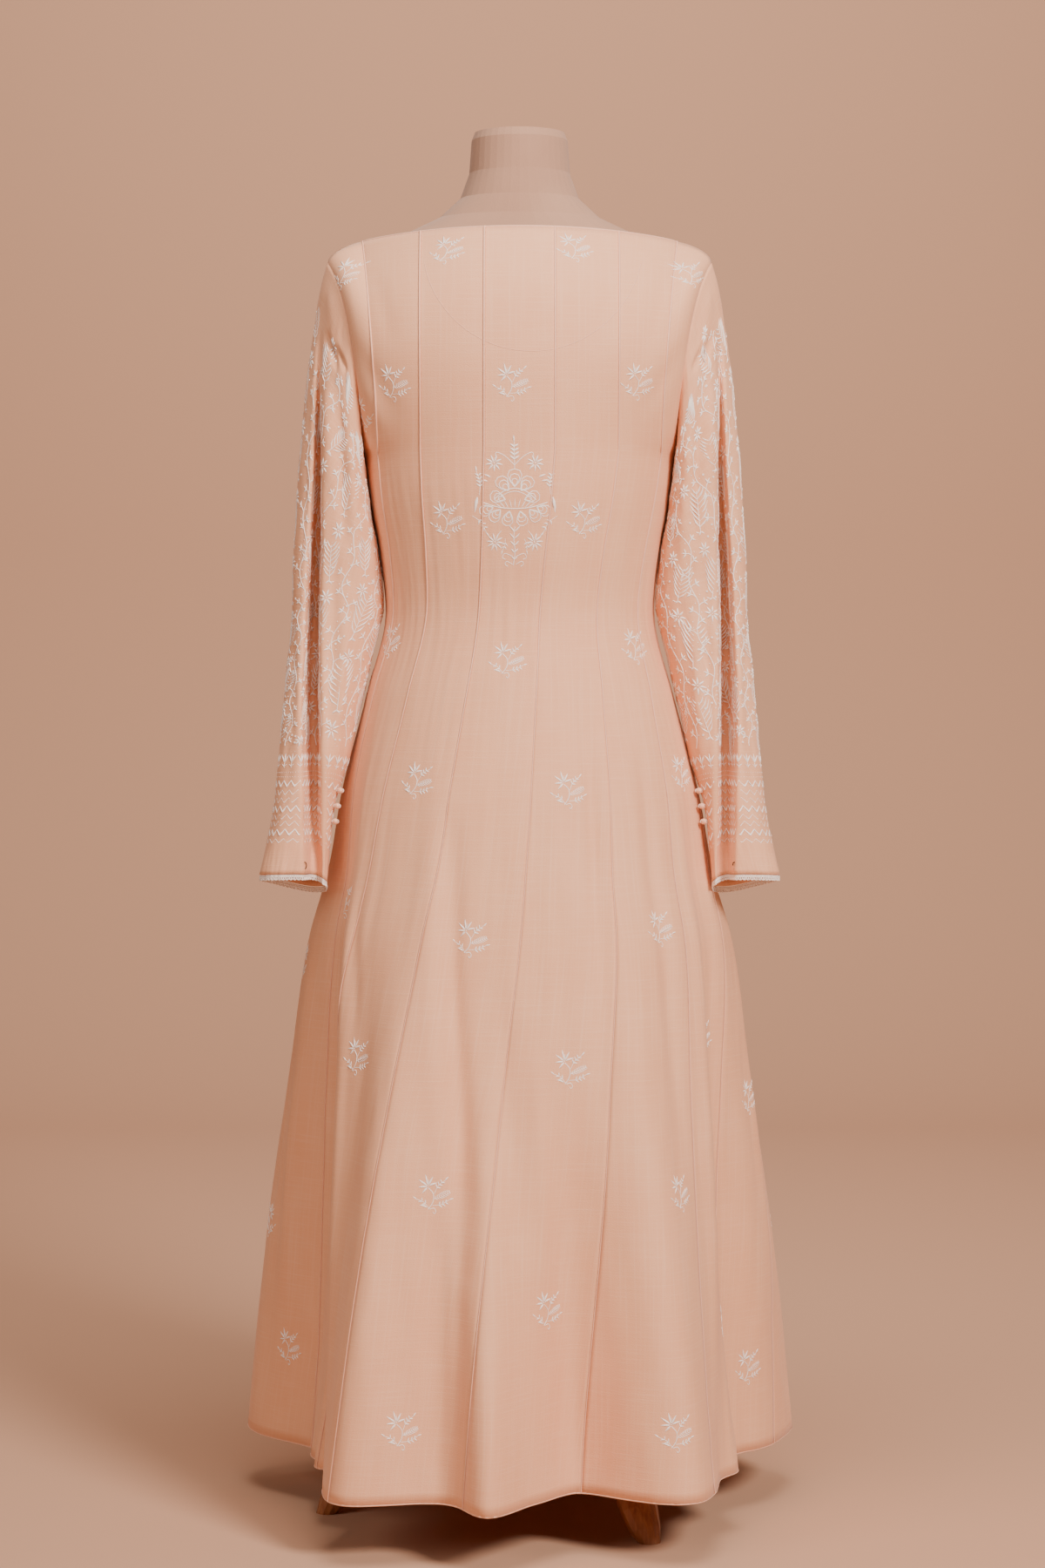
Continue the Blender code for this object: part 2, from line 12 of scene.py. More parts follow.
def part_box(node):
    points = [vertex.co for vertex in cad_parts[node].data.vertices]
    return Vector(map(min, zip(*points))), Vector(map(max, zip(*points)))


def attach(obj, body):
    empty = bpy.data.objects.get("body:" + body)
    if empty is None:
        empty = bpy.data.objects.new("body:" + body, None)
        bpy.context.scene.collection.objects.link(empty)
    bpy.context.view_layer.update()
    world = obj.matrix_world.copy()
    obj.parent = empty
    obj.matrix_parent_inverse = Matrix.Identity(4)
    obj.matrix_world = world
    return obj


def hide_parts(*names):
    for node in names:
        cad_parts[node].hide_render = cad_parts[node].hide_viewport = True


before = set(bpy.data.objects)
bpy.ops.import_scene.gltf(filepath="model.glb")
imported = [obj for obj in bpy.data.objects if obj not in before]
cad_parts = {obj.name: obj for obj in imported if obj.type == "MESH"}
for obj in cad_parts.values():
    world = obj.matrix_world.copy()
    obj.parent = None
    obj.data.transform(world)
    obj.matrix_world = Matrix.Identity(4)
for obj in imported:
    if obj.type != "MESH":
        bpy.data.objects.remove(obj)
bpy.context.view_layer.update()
hubLow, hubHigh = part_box("stand_hub")
middle = Vector(((hubLow.x + hubHigh.x) / 2, (hubLow.y + hubHigh.y) / 2, 0.0))  # the form's axis
print("frame loaded")

# The gown's cut, in metres and degrees. -Y is the back, +X the wearer's right, Z = 0 the floor.
# Angles go round from the middle of the back and are positive to the wearer's right.
cut = {
    "panels": 14,
    "hemZ": 0.062,
    "underarmZ": 1.100,
    "clothWall": 0.0011,
    "neckSideZ": 1.322,  # where the neckline meets the shoulder seam
    "neckBackZ": 1.329,
    "neckFrontZ": 1.262,
    "shoulderX": 0.199,
    "shoulderZ": 1.300,
    "armholeDepth": 0.058,  # how far the armhole's edge stands behind and in front
    "columns": 30,  # faces across a panel
    "skirtRows": 96,
    "yokeRows": 34,
}
panelStep = 360.0 / cut["panels"]
neckPoint = 2.5 * panelStep

# Sections of the gown without its folds: z, half width, depth behind, depth in front.
bodySections = (
    (1.100, 0.161, 0.118, 0.130),
    (1.050, 0.1545, 0.117, 0.139),
    (1.000, 0.1452, 0.111, 0.128),
    (0.940, 0.139, 0.103, 0.113),
    (0.850, 0.160, 0.122, 0.120),
    (0.750, 0.186, 0.147, 0.142),
    (0.667, 0.201, 0.163, 0.165),
    (0.600, 0.219, 0.175, 0.184),
    (0.450, 0.238, 0.200, 0.220),
    (0.300, 0.255, 0.224, 0.250),
    (0.150, 0.268, 0.246, 0.276),
    (0.062, 0.276, 0.258, 0.290),
)
# How far the seams swing round to the wearer's left on their way down: z, angle.
seamSwing = (
    (1.100, 0.0),
    (1.040, -1.2),
    (0.937, -4.2),
    (0.815, -7.8),
    (0.675, -11.0),
    (0.600, -12.8),
    (0.467, -16.6),
    (0.350, -19.0),
    (0.190, -21.6),
    (0.062, -23.5),
)
# Main folds: angle at the hem, drift per metre of height, width, how far out, start height.
mainFolds = (
    (-5.5, -6.0, 5.5, 0.050, 0.52),
    (-33.0, 10.0, 9.5, 0.047, 0.84),
    (-54.0, -16.0, 7.5, -0.050, 0.80),
    (-69.0, 0.0, 9.0, -0.045, 0.86),
    (-86.0, 16.0, 12.0, -0.058, 0.92),
    (-112.0, 2.0, 13.0, 0.038, 0.86),
    (-131.0, 0.0, 8.0, -0.018, 0.62),
    (-151.0, 0.0, 11.0, 0.028, 0.78),
    (-171.0, 3.0, 8.0, -0.024, 0.66),
    (14.0, -6.0, 8.5, -0.046, 0.50),
    (33.0, -10.0, 9.0, 0.040, 0.78),
    (53.0, -4.0, 7.0, -0.014, 0.48),
    (75.0, -22.0, 14.0, -0.052, 0.86),
    (111.0, -4.0, 12.0, 0.034, 0.80),
    (132.0, 0.0, 9.0, -0.020, 0.66),
    (153.0, 0.0, 10.0, 0.026, 0.74),
    (176.0, 0.0, 7.0, 0.014, 0.60),
)
# Smaller creases: top z, angle there, bottom z, angle there, width, how far out.
skirtCreases = (
    (0.740, -21.5, 0.270, -10.5, 3.2, -0.0085),
    (0.700, -25.5, 0.300, -15.5, 3.0, 0.0035),
    (0.780, -58.0, 0.000, -43.0, 3.2, 0.0060),
    (0.690, -55.0, 0.480, -43.0, 2.4, -0.0020),
    (0.720, -61.0, 0.520, -70.0, 2.2, 0.0060),
    (0.640, -88.0, 0.180, -98.0, 3.0, 0.0050),
    (0.480, -101.0, 0.300, -103.0, 1.6, -0.0045),
    (0.380, -97.0, 0.100, -101.0, 2.4, -0.0040),
    (0.560, -4.0, 0.300, -1.0, 2.6, -0.0030),
    (0.420, -27.0, 0.120, -24.0, 2.2, -0.0030),
    (0.500, 4.0, 0.240, 6.5, 2.2, 0.0030),
    (0.330, -15.0, 0.090, -14.0, 1.6, 0.0028),
    (0.880, 24.0, 0.420, 20.0, 3.0, -0.0055),
    (0.800, 44.0, 0.360, 40.0, 3.2, -0.0060),
    (0.760, 60.0, 0.080, 50.0, 4.0, 0.0090),
    (0.640, 88.0, 0.200, 95.0, 3.0, 0.0050),
    (0.520, 118.0, 0.200, 122.0, 2.6, -0.0045),
    (0.860, 142.0, 0.360, 143.0, 3.4, -0.0060),
    (0.760, 166.0, 0.180, 163.0, 3.0, -0.0055),
    (0.880, -164.0, 0.420, -160.0, 3.0, -0.0050),
    (0.800, -141.0, 0.220, -141.0, 3.0, -0.0055),
    (0.620, -124.0, 0.140, -122.0, 2.6, 0.0045),
)
# How the skirt's cloth lies. Folds and creases end so many widths from their line; the
# unevenness between them is in metres and starts under a height.
drape = {
    "foldReach": 3.2,
    "creaseReach": 3.0,
    "creaseTaper": 0.7,
    "flatFrom": 0.94,  # share of the skirt's height where creases fade out under the yoke
    "wave": 0.0022,
    "waveTop": 1.02,
    "waveOver": 0.5,  # it grows to its full size over this height
    "ripple": 0.0007,
    "crumple": 0.0030,
    "crumpleTop": 0.60,
    "crumpleOver": 0.3,
}
# Middle line of the yoke from the underarm up: rise, depth.
yokeBack = (
    (0, 0.118), (0.36, 0.121), (0.54, 0.118), (0.70, 0.110), (0.83, 0.098), (0.93, 0.084), (1, 0.071),
)
yokeFront = (
    (0, 0.130), (0.36, 0.124), (0.54, 0.118), (0.70, 0.111), (0.83, 0.103), (0.93, 0.096), (1, 0.090),
)
# Powers that bend the yoke's lines; a pair is for behind (-1) and in front (1).
yoke = {
    "flare": 1.6,  # the armhole's edge swings outwards late
    "bowAt": 0.75,
    "bow": 0.8,
    "ease": 1.3,  # away from the armhole the cloth eases into its depth more slowly
    "nearArmhole": 6,  # higher keeps the armhole's line to the yoke's edge
    "neckRound": {-1: 0.7, 1: 1.0},
    "neckDepth": {-1: 0.85, 1: 0.55},
    "shoulderSlope": 1.3,
    "crest": 0.55,  # how much the cloth rounds over the shoulder
    "ripple": 0.0008,  # metres
}
# Soft pulls in the yoke: from x, z to x, z, width, how far out, behind (-1) or in front (1).
yokeCreases = (
    (-0.172, 1.215, -0.120, 1.130, 0.008, -0.0022, -1),
    (-0.168, 1.180, -0.128, 1.105, 0.006, 0.0016, -1),
    (0.172, 1.215, 0.124, 1.135, 0.008, -0.0022, -1),
    (-0.150, 1.295, -0.128, 1.200, 0.009, -0.0014, -1),
    (0.150, 1.295, 0.130, 1.200, 0.009, -0.0014, -1),
    (0.172, 1.200, 0.110, 1.130, 0.009, -0.0026, 1),
    (-0.172, 1.205, -0.108, 1.125, 0.009, -0.0026, 1),
    (-0.090, 1.215, -0.070, 1.130, 0.010, -0.0016, 1),
    (0.090, 1.220, 0.074, 1.130, 0.010, -0.0016, 1),
)
# The facing's edge, which shows through behind: its centre and radius, and the angles it runs between.
facing = {"x": 0.012, "z": 1.306, "radius": 0.109, "from": 188.0, "to": 352.0}


def smoothstep(x):
    x = min(1.0, max(0.0, x))
    return x * x * (3.0 - 2.0 * x)


@functools.lru_cache(maxsize=None)
def onCurve(table, index, at):
    # a table's value where its first column is `at`, on a smooth curve without overshoot
    rows = sorted(table)
    at = min(rows[-1][0], max(rows[0][0], at))
    i = 0
    while i < len(rows) - 2 and at > rows[i + 1][0]:
        i += 1
    low, high = rows[i], rows[i + 1]
    span = high[0] - low[0]

    def slope(a, b):
        return (b[index] - a[index]) / (b[0] - a[0])

    here = slope(low, high)
    before = slope(rows[i - 1], low) if i else here
    after = slope(high, rows[i + 2]) if i + 2 < len(rows) else here
    start = 0.5 * (before + here) if before * here > 0 else 0.0
    end = 0.5 * (here + after) if here * after > 0 else 0.0
    if not i:
        start = here
    if i + 2 == len(rows):
        end = here
    u = (at - low[0]) / span
    return (
        (2 * u**3 - 3 * u**2 + 1) * low[index]
        + (u**3 - 2 * u**2 + u) * span * start
        + (3 * u**2 - 2 * u**3) * high[index]
        + (u**3 - u**2) * span * end
    )


def apart(angle, other):
    return (angle - other + 180.0) % 360.0 - 180.0


def uneven(x, y, seed):
    return noise.noise(Vector((x, y, seed)))


def foldDepth(angle, z):
    # how far folds and creases stand out there, or sink in
    total = 0.0
    for atHem, drift, width, out, startZ in mainFolds:
        ramp = smoothstep((startZ - z) / (startZ - cut["hemZ"]))
        away = apart(angle, atHem + drift * (z - cut["hemZ"]))
        if ramp and abs(away) < drape["foldReach"] * width:
            total += out * ramp * math.exp(-((away / width) ** 2))
    for topZ, topAngle, bottomZ, bottomAngle, width, out in skirtCreases:
        along = (topZ - z) / (topZ - bottomZ)
        if not 0.0 < along < 1.0:
            continue
        away = apart(angle, topAngle + (bottomAngle - topAngle) * along)
        if abs(away) < drape["creaseReach"] * width:
            taper = math.sin(math.pi * along) ** drape["creaseTaper"]
            total += out * taper * math.exp(-((away / width) ** 2))
    wave = drape["wave"] * smoothstep((drape["waveTop"] - z) / drape["waveOver"])
    total += wave * uneven(angle * 0.11, z * 3.0, 4.0)
    total += drape["ripple"] * uneven(angle * 0.33, z * 11.0, 9.0)
    crumple = drape["crumple"] * smoothstep((drape["crumpleTop"] - z) / drape["crumpleOver"])
    crumple *= max(0.0, uneven(angle * 0.10 + z * 2.0, z * 4.0, 6.0))
    return total + crumple * uneven(angle * 0.30 + z * 9.0, z * 24.0 - angle * 0.12, 1.0)


def skirtPoint(angle, share):
    z = cut["hemZ"] + (cut["underarmZ"] - cut["hemZ"]) * share
    around = angle + onCurve(seamSwing, 1, z)
    a = math.radians(around)
    halfWidth = onCurve(bodySections, 1, z)
    depth = onCurve(bodySections, 2 if math.cos(a) > 0 else 3, z)
    outwards = Vector((math.sin(a) / halfWidth, -math.cos(a) / depth, 0.0)).normalized()
    fade = smoothstep((1.0 - share) / (1.0 - drape["flatFrom"]))
    plain = Vector((halfWidth * math.sin(a), -depth * math.cos(a), z))
    return plain + outwards * foldDepth(around, z) * fade


def pull(creases, x, z, side):
    # how far soft creases that run between two spots lift the cloth, or sink it
    total = 0.0
    for x1, z1, x2, z2, width, out, where in creases:
        if where != side:
            continue
        line = Vector((x2 - x1, z2 - z1))
        along = (Vector((x - x1, z - z1)).dot(line)) / line.length_squared
        if 0.0 < along < 1.0:
            away = (Vector((x - x1, z - z1)) - line * along).length
            total += out * math.sin(math.pi * along) * math.exp(-((away / width) ** 2))
    return total


def yokePoint(angle, rise, side):
    # side is -1 behind and 1 in front; angle is the column's, from -90 to 90
    a = math.radians(angle)
    edge = abs(math.sin(a))
    nearArmhole = edge ** yoke["nearArmhole"]
    halfWidth = bodySections[0][1]
    armholeX = halfWidth + (cut["shoulderX"] - halfWidth) * rise ** yoke["flare"]
    armholeY = 0.0
    if 0 < rise < 1:
        soft = math.sin(math.pi * rise) ** yoke["ease"]
        full = math.sin(math.pi * rise ** yoke["bowAt"]) ** yoke["bow"]
        armholeY = cut["armholeDepth"] * (soft + (full - soft) * nearArmhole)
    neckShare = min(1.0, abs(angle) / neckPoint)
    centreZ = cut["neckFrontZ"] if side > 0 else cut["neckBackZ"]
    roundNeck = math.cos(0.5 * math.pi * neckShare)
    neckZ = cut["neckSideZ"] + (centreZ - cut["neckSideZ"]) * roundNeck ** yoke["neckRound"][side]
    pastNeck = max(0.0, (abs(angle) - neckPoint) / (90.0 - neckPoint))
    topZ = neckZ + (cut["shoulderZ"] - cut["neckSideZ"]) * pastNeck ** yoke["shoulderSlope"]
    crest = yoke["crest"] * smoothstep(pastNeck + 0.35 * neckShare)
    climb = (1.0 - crest) * rise + crest * math.sin(0.5 * math.pi * rise)
    x = math.copysign(edge, angle) * (halfWidth + (armholeX - halfWidth) * nearArmhole)
    middleDepth = onCurve(yokeFront if side > 0 else yokeBack, 1, rise)
    atNeck = rise**3
    across = (1.0 - atNeck) * math.cos(a) + atNeck * roundNeck ** yoke["neckDepth"][side]
    depth = armholeY + (middleDepth - armholeY) * across
    z = cut["underarmZ"] + (topZ - cut["underarmZ"]) * climb
    # creases fade out towards the yoke's own edges
    fade = smoothstep(rise / 0.15) * smoothstep((1.0 - rise) / 0.05)
    fade *= smoothstep((90.0 - abs(angle)) / 6.0)
    lift = pull(yokeCreases, x, z, side) + yoke["ripple"] * uneven(x * 22.0, z * 14.0, 2.0 * side)
    return Vector((x, (depth + lift * fade) * side, z))


def gownPoint(panel, across, row):
    # row runs 0 at the hem, 1 at the underarm and 2 at the neckline or shoulder
    angle = -90.0 + (panel + across) * panelStep
    if row <= 1.0:
        return skirtPoint(angle, row) + middle
    if panel < cut["panels"] // 2:
        return yokePoint(angle, row - 1.0, -1) + middle
    return yokePoint(180.0 - angle, row - 1.0, 1) + middle


def linear(code, alpha=1.0):
    # an sRGB hex colour as Blender's linear one
    parts = [int(code[i : i + 2], 16) / 255 for i in (1, 3, 5)]
    return tuple(c / 12.92 if c <= 0.04045 else ((c + 0.055) / 1.055) ** 2.4 for c in parts) + (alpha,)


def addNode(material, kind, settings=None, links=None):
    # one node with its settings; a setting is a property's name or an input socket's name or number
    node = material.node_tree.nodes.new("ShaderNode" + kind)
    for key, value in (settings or {}).items():
        if isinstance(key, str) and hasattr(node, key):
            setattr(node, key, value)
        else:
            node.inputs[key].default_value = value
    for key, source in (links or {}).items():
        material.node_tree.links.new(source, node.inputs[key])
    return node


def newMaterial(name, settings):
    # a Principled material; settings are its own sockets' uniform values
    material = bpy.data.materials.new(name)
    material.use_nodes = True
    shader = material.node_tree.nodes["Principled BSDF"]
    for key, value in settings.items():
        shader.inputs[key].default_value = value
    return material


def wearOn(material, colour, bump):
    # a pattern's colour and relief, led to the shader
    shader = material.node_tree.nodes["Principled BSDF"]
    material.node_tree.links.new(colour.outputs[2], shader.inputs["Base Color"])
    material.node_tree.links.new(bump.outputs[0], shader.inputs["Normal"])
    return material


def slubSilk(name, tint, deepTint, paleTint):
    # Handloom silk-cotton: uneven weft threads leave pale slubs across, the sheen is soft and dry.
    # Slubs are 1.4 mm high and 60 mm long, a thick warp thread comes each 2.4 mm, and the shade
    # drifts over 70 to 110 mm. Threads are 0.35 mm apart in life and drawn at 1.1 mm to show.
    material = newMaterial(
        name,
        {
            "Roughness": 0.72,
            "IOR": 1.47,
            "Sheen Weight": 0.22,
            "Sheen Roughness": 0.45,
            "Sheen Tint": linear("#FFE9DC"),
        },
    )
    where = addNode(material, "UVMap", {"uv_map": "cut"}).outputs["UV"]
    grain = {}
    for kind, scale, settings in (
        ("slub", (16.0, 720.0, 1.0), {"Scale": 1.0, "Detail": 3.0, "Roughness": 0.6}),
        ("warp", (420.0, 7.0, 1.0), {"Scale": 1.0, "Detail": 2.0}),
        ("shade", (14.0, 9.0, 1.0), {"Scale": 1.0, "Detail": 4.0}),
        ("weave", (900.0, 900.0, 1.0), {"Scale": 1.0, "Detail": 1.0}),
    ):
        spread = addNode(material, "Mapping", {"Scale": scale}, {"Vector": where})
        grain[kind] = addNode(material, "TexNoise", settings, {"Vector": spread.outputs[0]}).outputs[0]
    colour = None
    for kind, low, high, most, tone in (
        ("shade", 0.35, 0.70, 0.55, deepTint),
        ("slub", 0.50, 0.78, 0.50, paleTint),
        ("warp", 0.50, 0.80, 0.45, paleTint),
    ):
        share = addNode(material, "MapRange", {1: low, 2: high, 3: 0.0, 4: most}, {0: grain[kind]})
        links = {0: share.outputs[0]}
        if colour:
            links[6] = colour.outputs[2]
        colour = addNode(material, "Mix", {"data_type": "RGBA", 6: linear(tint), 7: linear(tone)}, links)
    threads = addNode(
        material, "Math", {"operation": "MULTIPLY_ADD", 1: 0.6}, {0: grain["slub"], 2: grain["weave"]}
    )
    relief = {"Strength": 0.45, "Distance": 0.0005}
    bump = addNode(material, "Bump", relief, {"Height": threads.outputs[0]})
    return wearOn(material, colour, bump)


def embroideryThread(name, tint, shade):
    # Untwisted rayon floss: near white, with a silky gloss along each satin stitch. Its strands
    # are finer than 0.1 mm and drawn 0.6 mm apart.
    material = newMaterial(
        name, {"Roughness": 0.42, "IOR": 1.52, "Sheen Weight": 0.35, "Sheen Roughness": 0.3}
    )
    place = addNode(material, "TexCoord").outputs["Object"]
    fine = {"Scale": 1600.0, "Detail": 1.0}
    strands = addNode(material, "TexNoise", fine, {"Vector": place}).outputs[0]
    tones = {"data_type": "RGBA", 6: linear(tint), 7: linear(shade)}
    colour = addNode(material, "Mix", tones, {0: strands})
    bump = addNode(material, "Bump", {"Strength": 0.5, "Distance": 0.0003}, {"Height": strands})
    return wearOn(material, colour, bump)


def stretchedCover():
    # Cotton jersey pulled over the form: matt, ribs drawn 1.1 mm apart, mottled every 55 mm.
    material = newMaterial("greige jersey cover", {"Roughness": 0.9, "IOR": 1.46, "Sheen Weight": 0.15})
    place = addNode(material, "TexCoord").outputs["Object"]
    mottle = addNode(material, "TexNoise", {"Scale": 18.0, "Detail": 4.0}, {"Vector": place})
    ribMap = addNode(material, "Mapping", {"Scale": (900.0, 900.0, 260.0)}, {"Vector": place})
    ribs = addNode(material, "TexNoise", {"Scale": 1.0, "Detail": 2.0}, {"Vector": ribMap.outputs[0]})
    tones = {"data_type": "RGBA", 6: linear("#B68E76"), 7: linear("#A88069")}
    colour = addNode(material, "Mix", tones, {0: mottle.outputs[0]})
    bump = addNode(material, "Bump", {"Strength": 0.35, "Distance": 0.0004}, {"Height": ribs.outputs[0]})
    return wearOn(material, colour, bump)


def stainedWood():
    # Turned sheesham with a thin oil stain: reddish, open grain 7 mm wide and 70 mm long along Z,
    # satin where it is rubbed.
    material = newMaterial("oiled sheesham", {"Roughness": 0.48, "IOR": 1.5, "Coat Weight": 0.12})
    place = addNode(material, "TexCoord").outputs["Object"]
    grainMap = addNode(material, "Mapping", {"Scale": (150.0, 150.0, 14.0)}, {"Vector": place})
    figure = {"Scale": 1.0, "Detail": 6.0, "Distortion": 0.8}
    grain = addNode(material, "TexNoise", figure, {"Vector": grainMap.outputs[0]}).outputs[0]
    spread = addNode(material, "MapRange", {1: 0.35, 2: 0.68}, {0: grain})
    tones = {"data_type": "RGBA", 6: linear("#A9693F"), 7: linear("#7E4526")}
    colour = addNode(material, "Mix", tones, {0: spread.outputs[0]})
    bump = addNode(material, "Bump", {"Strength": 0.25, "Distance": 0.0006}, {"Height": grain})
    return wearOn(material, colour, bump)


gownCloth = slubSilk("peach slub silk", "#ECAF88", "#E5A179", "#F3C29F")
threadWhite = embroideryThread("ivory rayon floss", "#FFF8F2", "#FBEBE2")
threadPeach = embroideryThread("peach piping cord", "#F3C0A3", "#EDB495")
formCover = stretchedCover()
standWood = stainedWood()
hookMetal = newMaterial(
    "blackened brass wire", {"Base Color": linear("#3A322C"), "Metallic": 1.0, "Roughness": 0.4}
)
# Thin clear polyester discs that catch the light.
sequinFilm = newMaterial(
    "clear sequin film",
    {"Base Color": linear("#F7EDE6"), "Roughness": 0.12, "IOR": 1.58, "Coat Weight": 0.6},
)
print("materials made")


def intoScene(name, data):
    made = bpy.data.objects.new(name, data)
    bpy.context.scene.collection.objects.link(made)
    return made


def addPiece(name, mesh, material, smooth=True):
    for face in mesh.polygons:
        face.use_smooth = smooth
    mesh.materials.clear()
    mesh.materials.append(material)
    piece = intoScene(name, mesh)
    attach(piece, "root")
    return piece


def finishPiece(name, bm, material, smooth=True):
    mesh = bpy.data.meshes.new(name)
    bm.to_mesh(mesh)
    bm.free()
    return addPiece(name, mesh, material, smooth)


def lineLength(line):
    return sum((b - a).length for a, b in zip(line, line[1:]))


def clothFromGrid(points, aroundClosed=False):
    # a sheet of cloth on rows of points, with its flat measures as its UV map "cut"
    rows, columns = len(points), len(points[0])
    bm = bmesh.new()
    uvLayer = bm.loops.layers.uv.new("cut")
    bmesh.ops.create_grid(bm, x_segments=columns - 1, y_segments=rows - 1, size=1.0)
    spot = {}
    for vert in bm.verts:
        j = round((vert.co.x + 1.0) / 2.0 * (columns - 1))
        i = round((vert.co.y + 1.0) / 2.0 * (rows - 1))
        spot[vert] = (i, j)
        vert.co = points[i][j]
    centre = (columns - 1) // 2
    alongs = [0.0]
    for i in range(1, rows):
        alongs.append(alongs[-1] + (points[i][centre] - points[i - 1][centre]).length)
    arcs = []
    for line in points:
        arc = [0.0]
        for a, b in zip(line, line[1:]):
            arc.append(arc[-1] + (b - a).length)
        arcs.append([value - arc[centre] for value in arc])
    for face in bm.faces:
        for loop in face.loops:
            i, j = spot[loop.vert]
            loop[uvLayer].uv = (arcs[i][j], alongs[i])
    area = sum(face.calc_area() for face in bm.faces)
    if aroundClosed:
        bmesh.ops.remove_doubles(bm, verts=bm.verts, dist=0.00001)
    widest = max(arc[-1] - arc[0] for arc in arcs)
    longest = max(lineLength([line[j] for line in points]) for j in range(columns))
    return bm, min(area, widest * longest), (round(widest, 3), round(longest, 3))


def addWall(piece, wall):
    shell = piece.modifiers.new("cloth wall", "SOLIDIFY")
    shell.thickness = wall
    shell.offset = 0.0
    shell.use_even_offset = False


def evenStroke(line, width):
    # one thread of the same half width all along
    return line, [width] * len(line)


def strokesToMesh(name, strokes, thickness, material):
    # threads: each stroke is points with a radius each; drawn as bevelled curves, kept as one mesh
    curve = bpy.data.curves.new(name, "CURVE")
    curve.dimensions = "3D"
    curve.bevel_depth = thickness
    curve.bevel_resolution = 0
    curve.use_fill_caps = True
    for points, radii in strokes:
        spline = curve.splines.new("POLY")
        spline.points.add(len(points) - 1)
        for point, place, radius in zip(spline.points, points, radii):
            point.co = (*place, 1.0)
            point.radius = radius
    holder = intoScene(name + " curve", curve)
    mesh = bpy.data.meshes.new_from_object(holder.evaluated_get(bpy.context.evaluated_depsgraph_get()))
    bpy.data.objects.remove(holder)
    bpy.data.curves.remove(curve)
    mesh.name = name
    return addPiece(name, mesh, material)


def pressOn(piece, tree, flatness, lift=0.0):
    # lay raised thread on the cloth: its height over the cloth is cut down to a share
    for vert in piece.data.vertices:
        spot, normal, _, _ = tree.find_nearest(vert.co, 0.02)
        if spot is None:
            continue
        height = (vert.co - spot).dot(normal)
        vert.co += normal * (height * (flatness - 1.0) + lift)


panelNames = (
    "back_side_left",
    "back_outer_left",
    "back_inner_left",
    "back_centre",
    "back_inner_right",
    "back_outer_right",
    "back_side_right",
    "front_side_right",
    "front_outer_right",
    "front_inner_right",
    "front_centre",
    "front_inner_left",
    "front_outer_left",
    "front_side_left",
)
rowValues = [i / cut["skirtRows"] for i in range(cut["skirtRows"] + 1)]
rowValues += [1.0 + i / cut["yokeRows"] for i in range(1, cut["yokeRows"] + 1)]
treeVerts, treeFaces = [], []


def addPanel(number):
    columns = cut["columns"]
    points = [[gownPoint(number, j / columns, row) for j in range(columns + 1)] for row in rowValues]
    bm, area, flat = clothFromGrid(points)
    start = len(treeVerts)
    treeVerts.extend(vert.co.copy() for vert in bm.verts)
    treeFaces.extend([start + vert.index for vert in face.verts] for face in bm.faces)
    name = panelNames[number]
    piece = finishPiece(name + "_kali", bm, gownCloth)
    addWall(piece, cut["clothWall"])
    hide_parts("panel_" + name)


for number in range(cut["panels"]):
    addPanel(number)
gownTree = BVHTree.FromPolygons(treeVerts, treeFaces)
print("panels made")

sleeve = {
    "columns": 132,
    "headRows": 60,
    "lowerRows": 62,
    "outlineSteps": 900,  # spots round a section before they are evened out
    "seamGap": 0.0006,
    "cuffDrop": 0.026,  # the cuff's edge hangs lower in front, most towards the body
    "wall": 0.0010,
    "swell": 0.0013,  # unevenness of the cloth, in metres
    "ripple": 0.0006,
    "pucker": 0.0008,  # over the cuff's edge
}
# How strongly a line down the sleeve's head leaves the armhole and reaches the elbow, sideways
# and downwards: under the arm, and how much more over the shoulder.
headLines = {
    "leaveAside": (-0.005, -0.070),
    "leaveDown": (-0.13, -0.10),
    "arriveAside": (-0.002, -0.008),
    "arriveDown": (-0.16, -0.12),
}
# The lower sleeve's sections: z, outer x, inner x, y of the middle, half depth.
sleeveSections = (
    (0.940, 0.2357, 0.1420, -0.006, 0.040),
    (0.850, 0.2445, 0.1640, -0.016, 0.038),
    (0.790, 0.2490, 0.1780, -0.024, 0.036),
    (0.750, 0.2525, 0.1905, -0.031, 0.034),
    (0.705, 0.2600, 0.1965, -0.038, 0.031),
    (0.668, 0.2680, 0.1990, -0.044, 0.029),
)
# The lengthwise fold behind, which reaches in between the sleeve's halves: z, x, depth, half width.
sleeveTrough = (
    (1.228, 0.2062, 0.000, 0.0022),
    (1.190, 0.2068, 0.009, 0.0026),
    (1.166, 0.2073, 0.014, 0.0030),
    (1.090, 0.2085, 0.029, 0.0044),
    (1.035, 0.2097, 0.038, 0.0056),
    (0.956, 0.2128, 0.045, 0.0066),
    (0.850, 0.2145, 0.046, 0.0080),
    (0.790, 0.2135, 0.043, 0.0084),
    (0.750, 0.2125, 0.038, 0.0082),
    (0.705, 0.2120, 0.031, 0.0078),
    (0.668, 0.2120, 0.025, 0.0074),
)
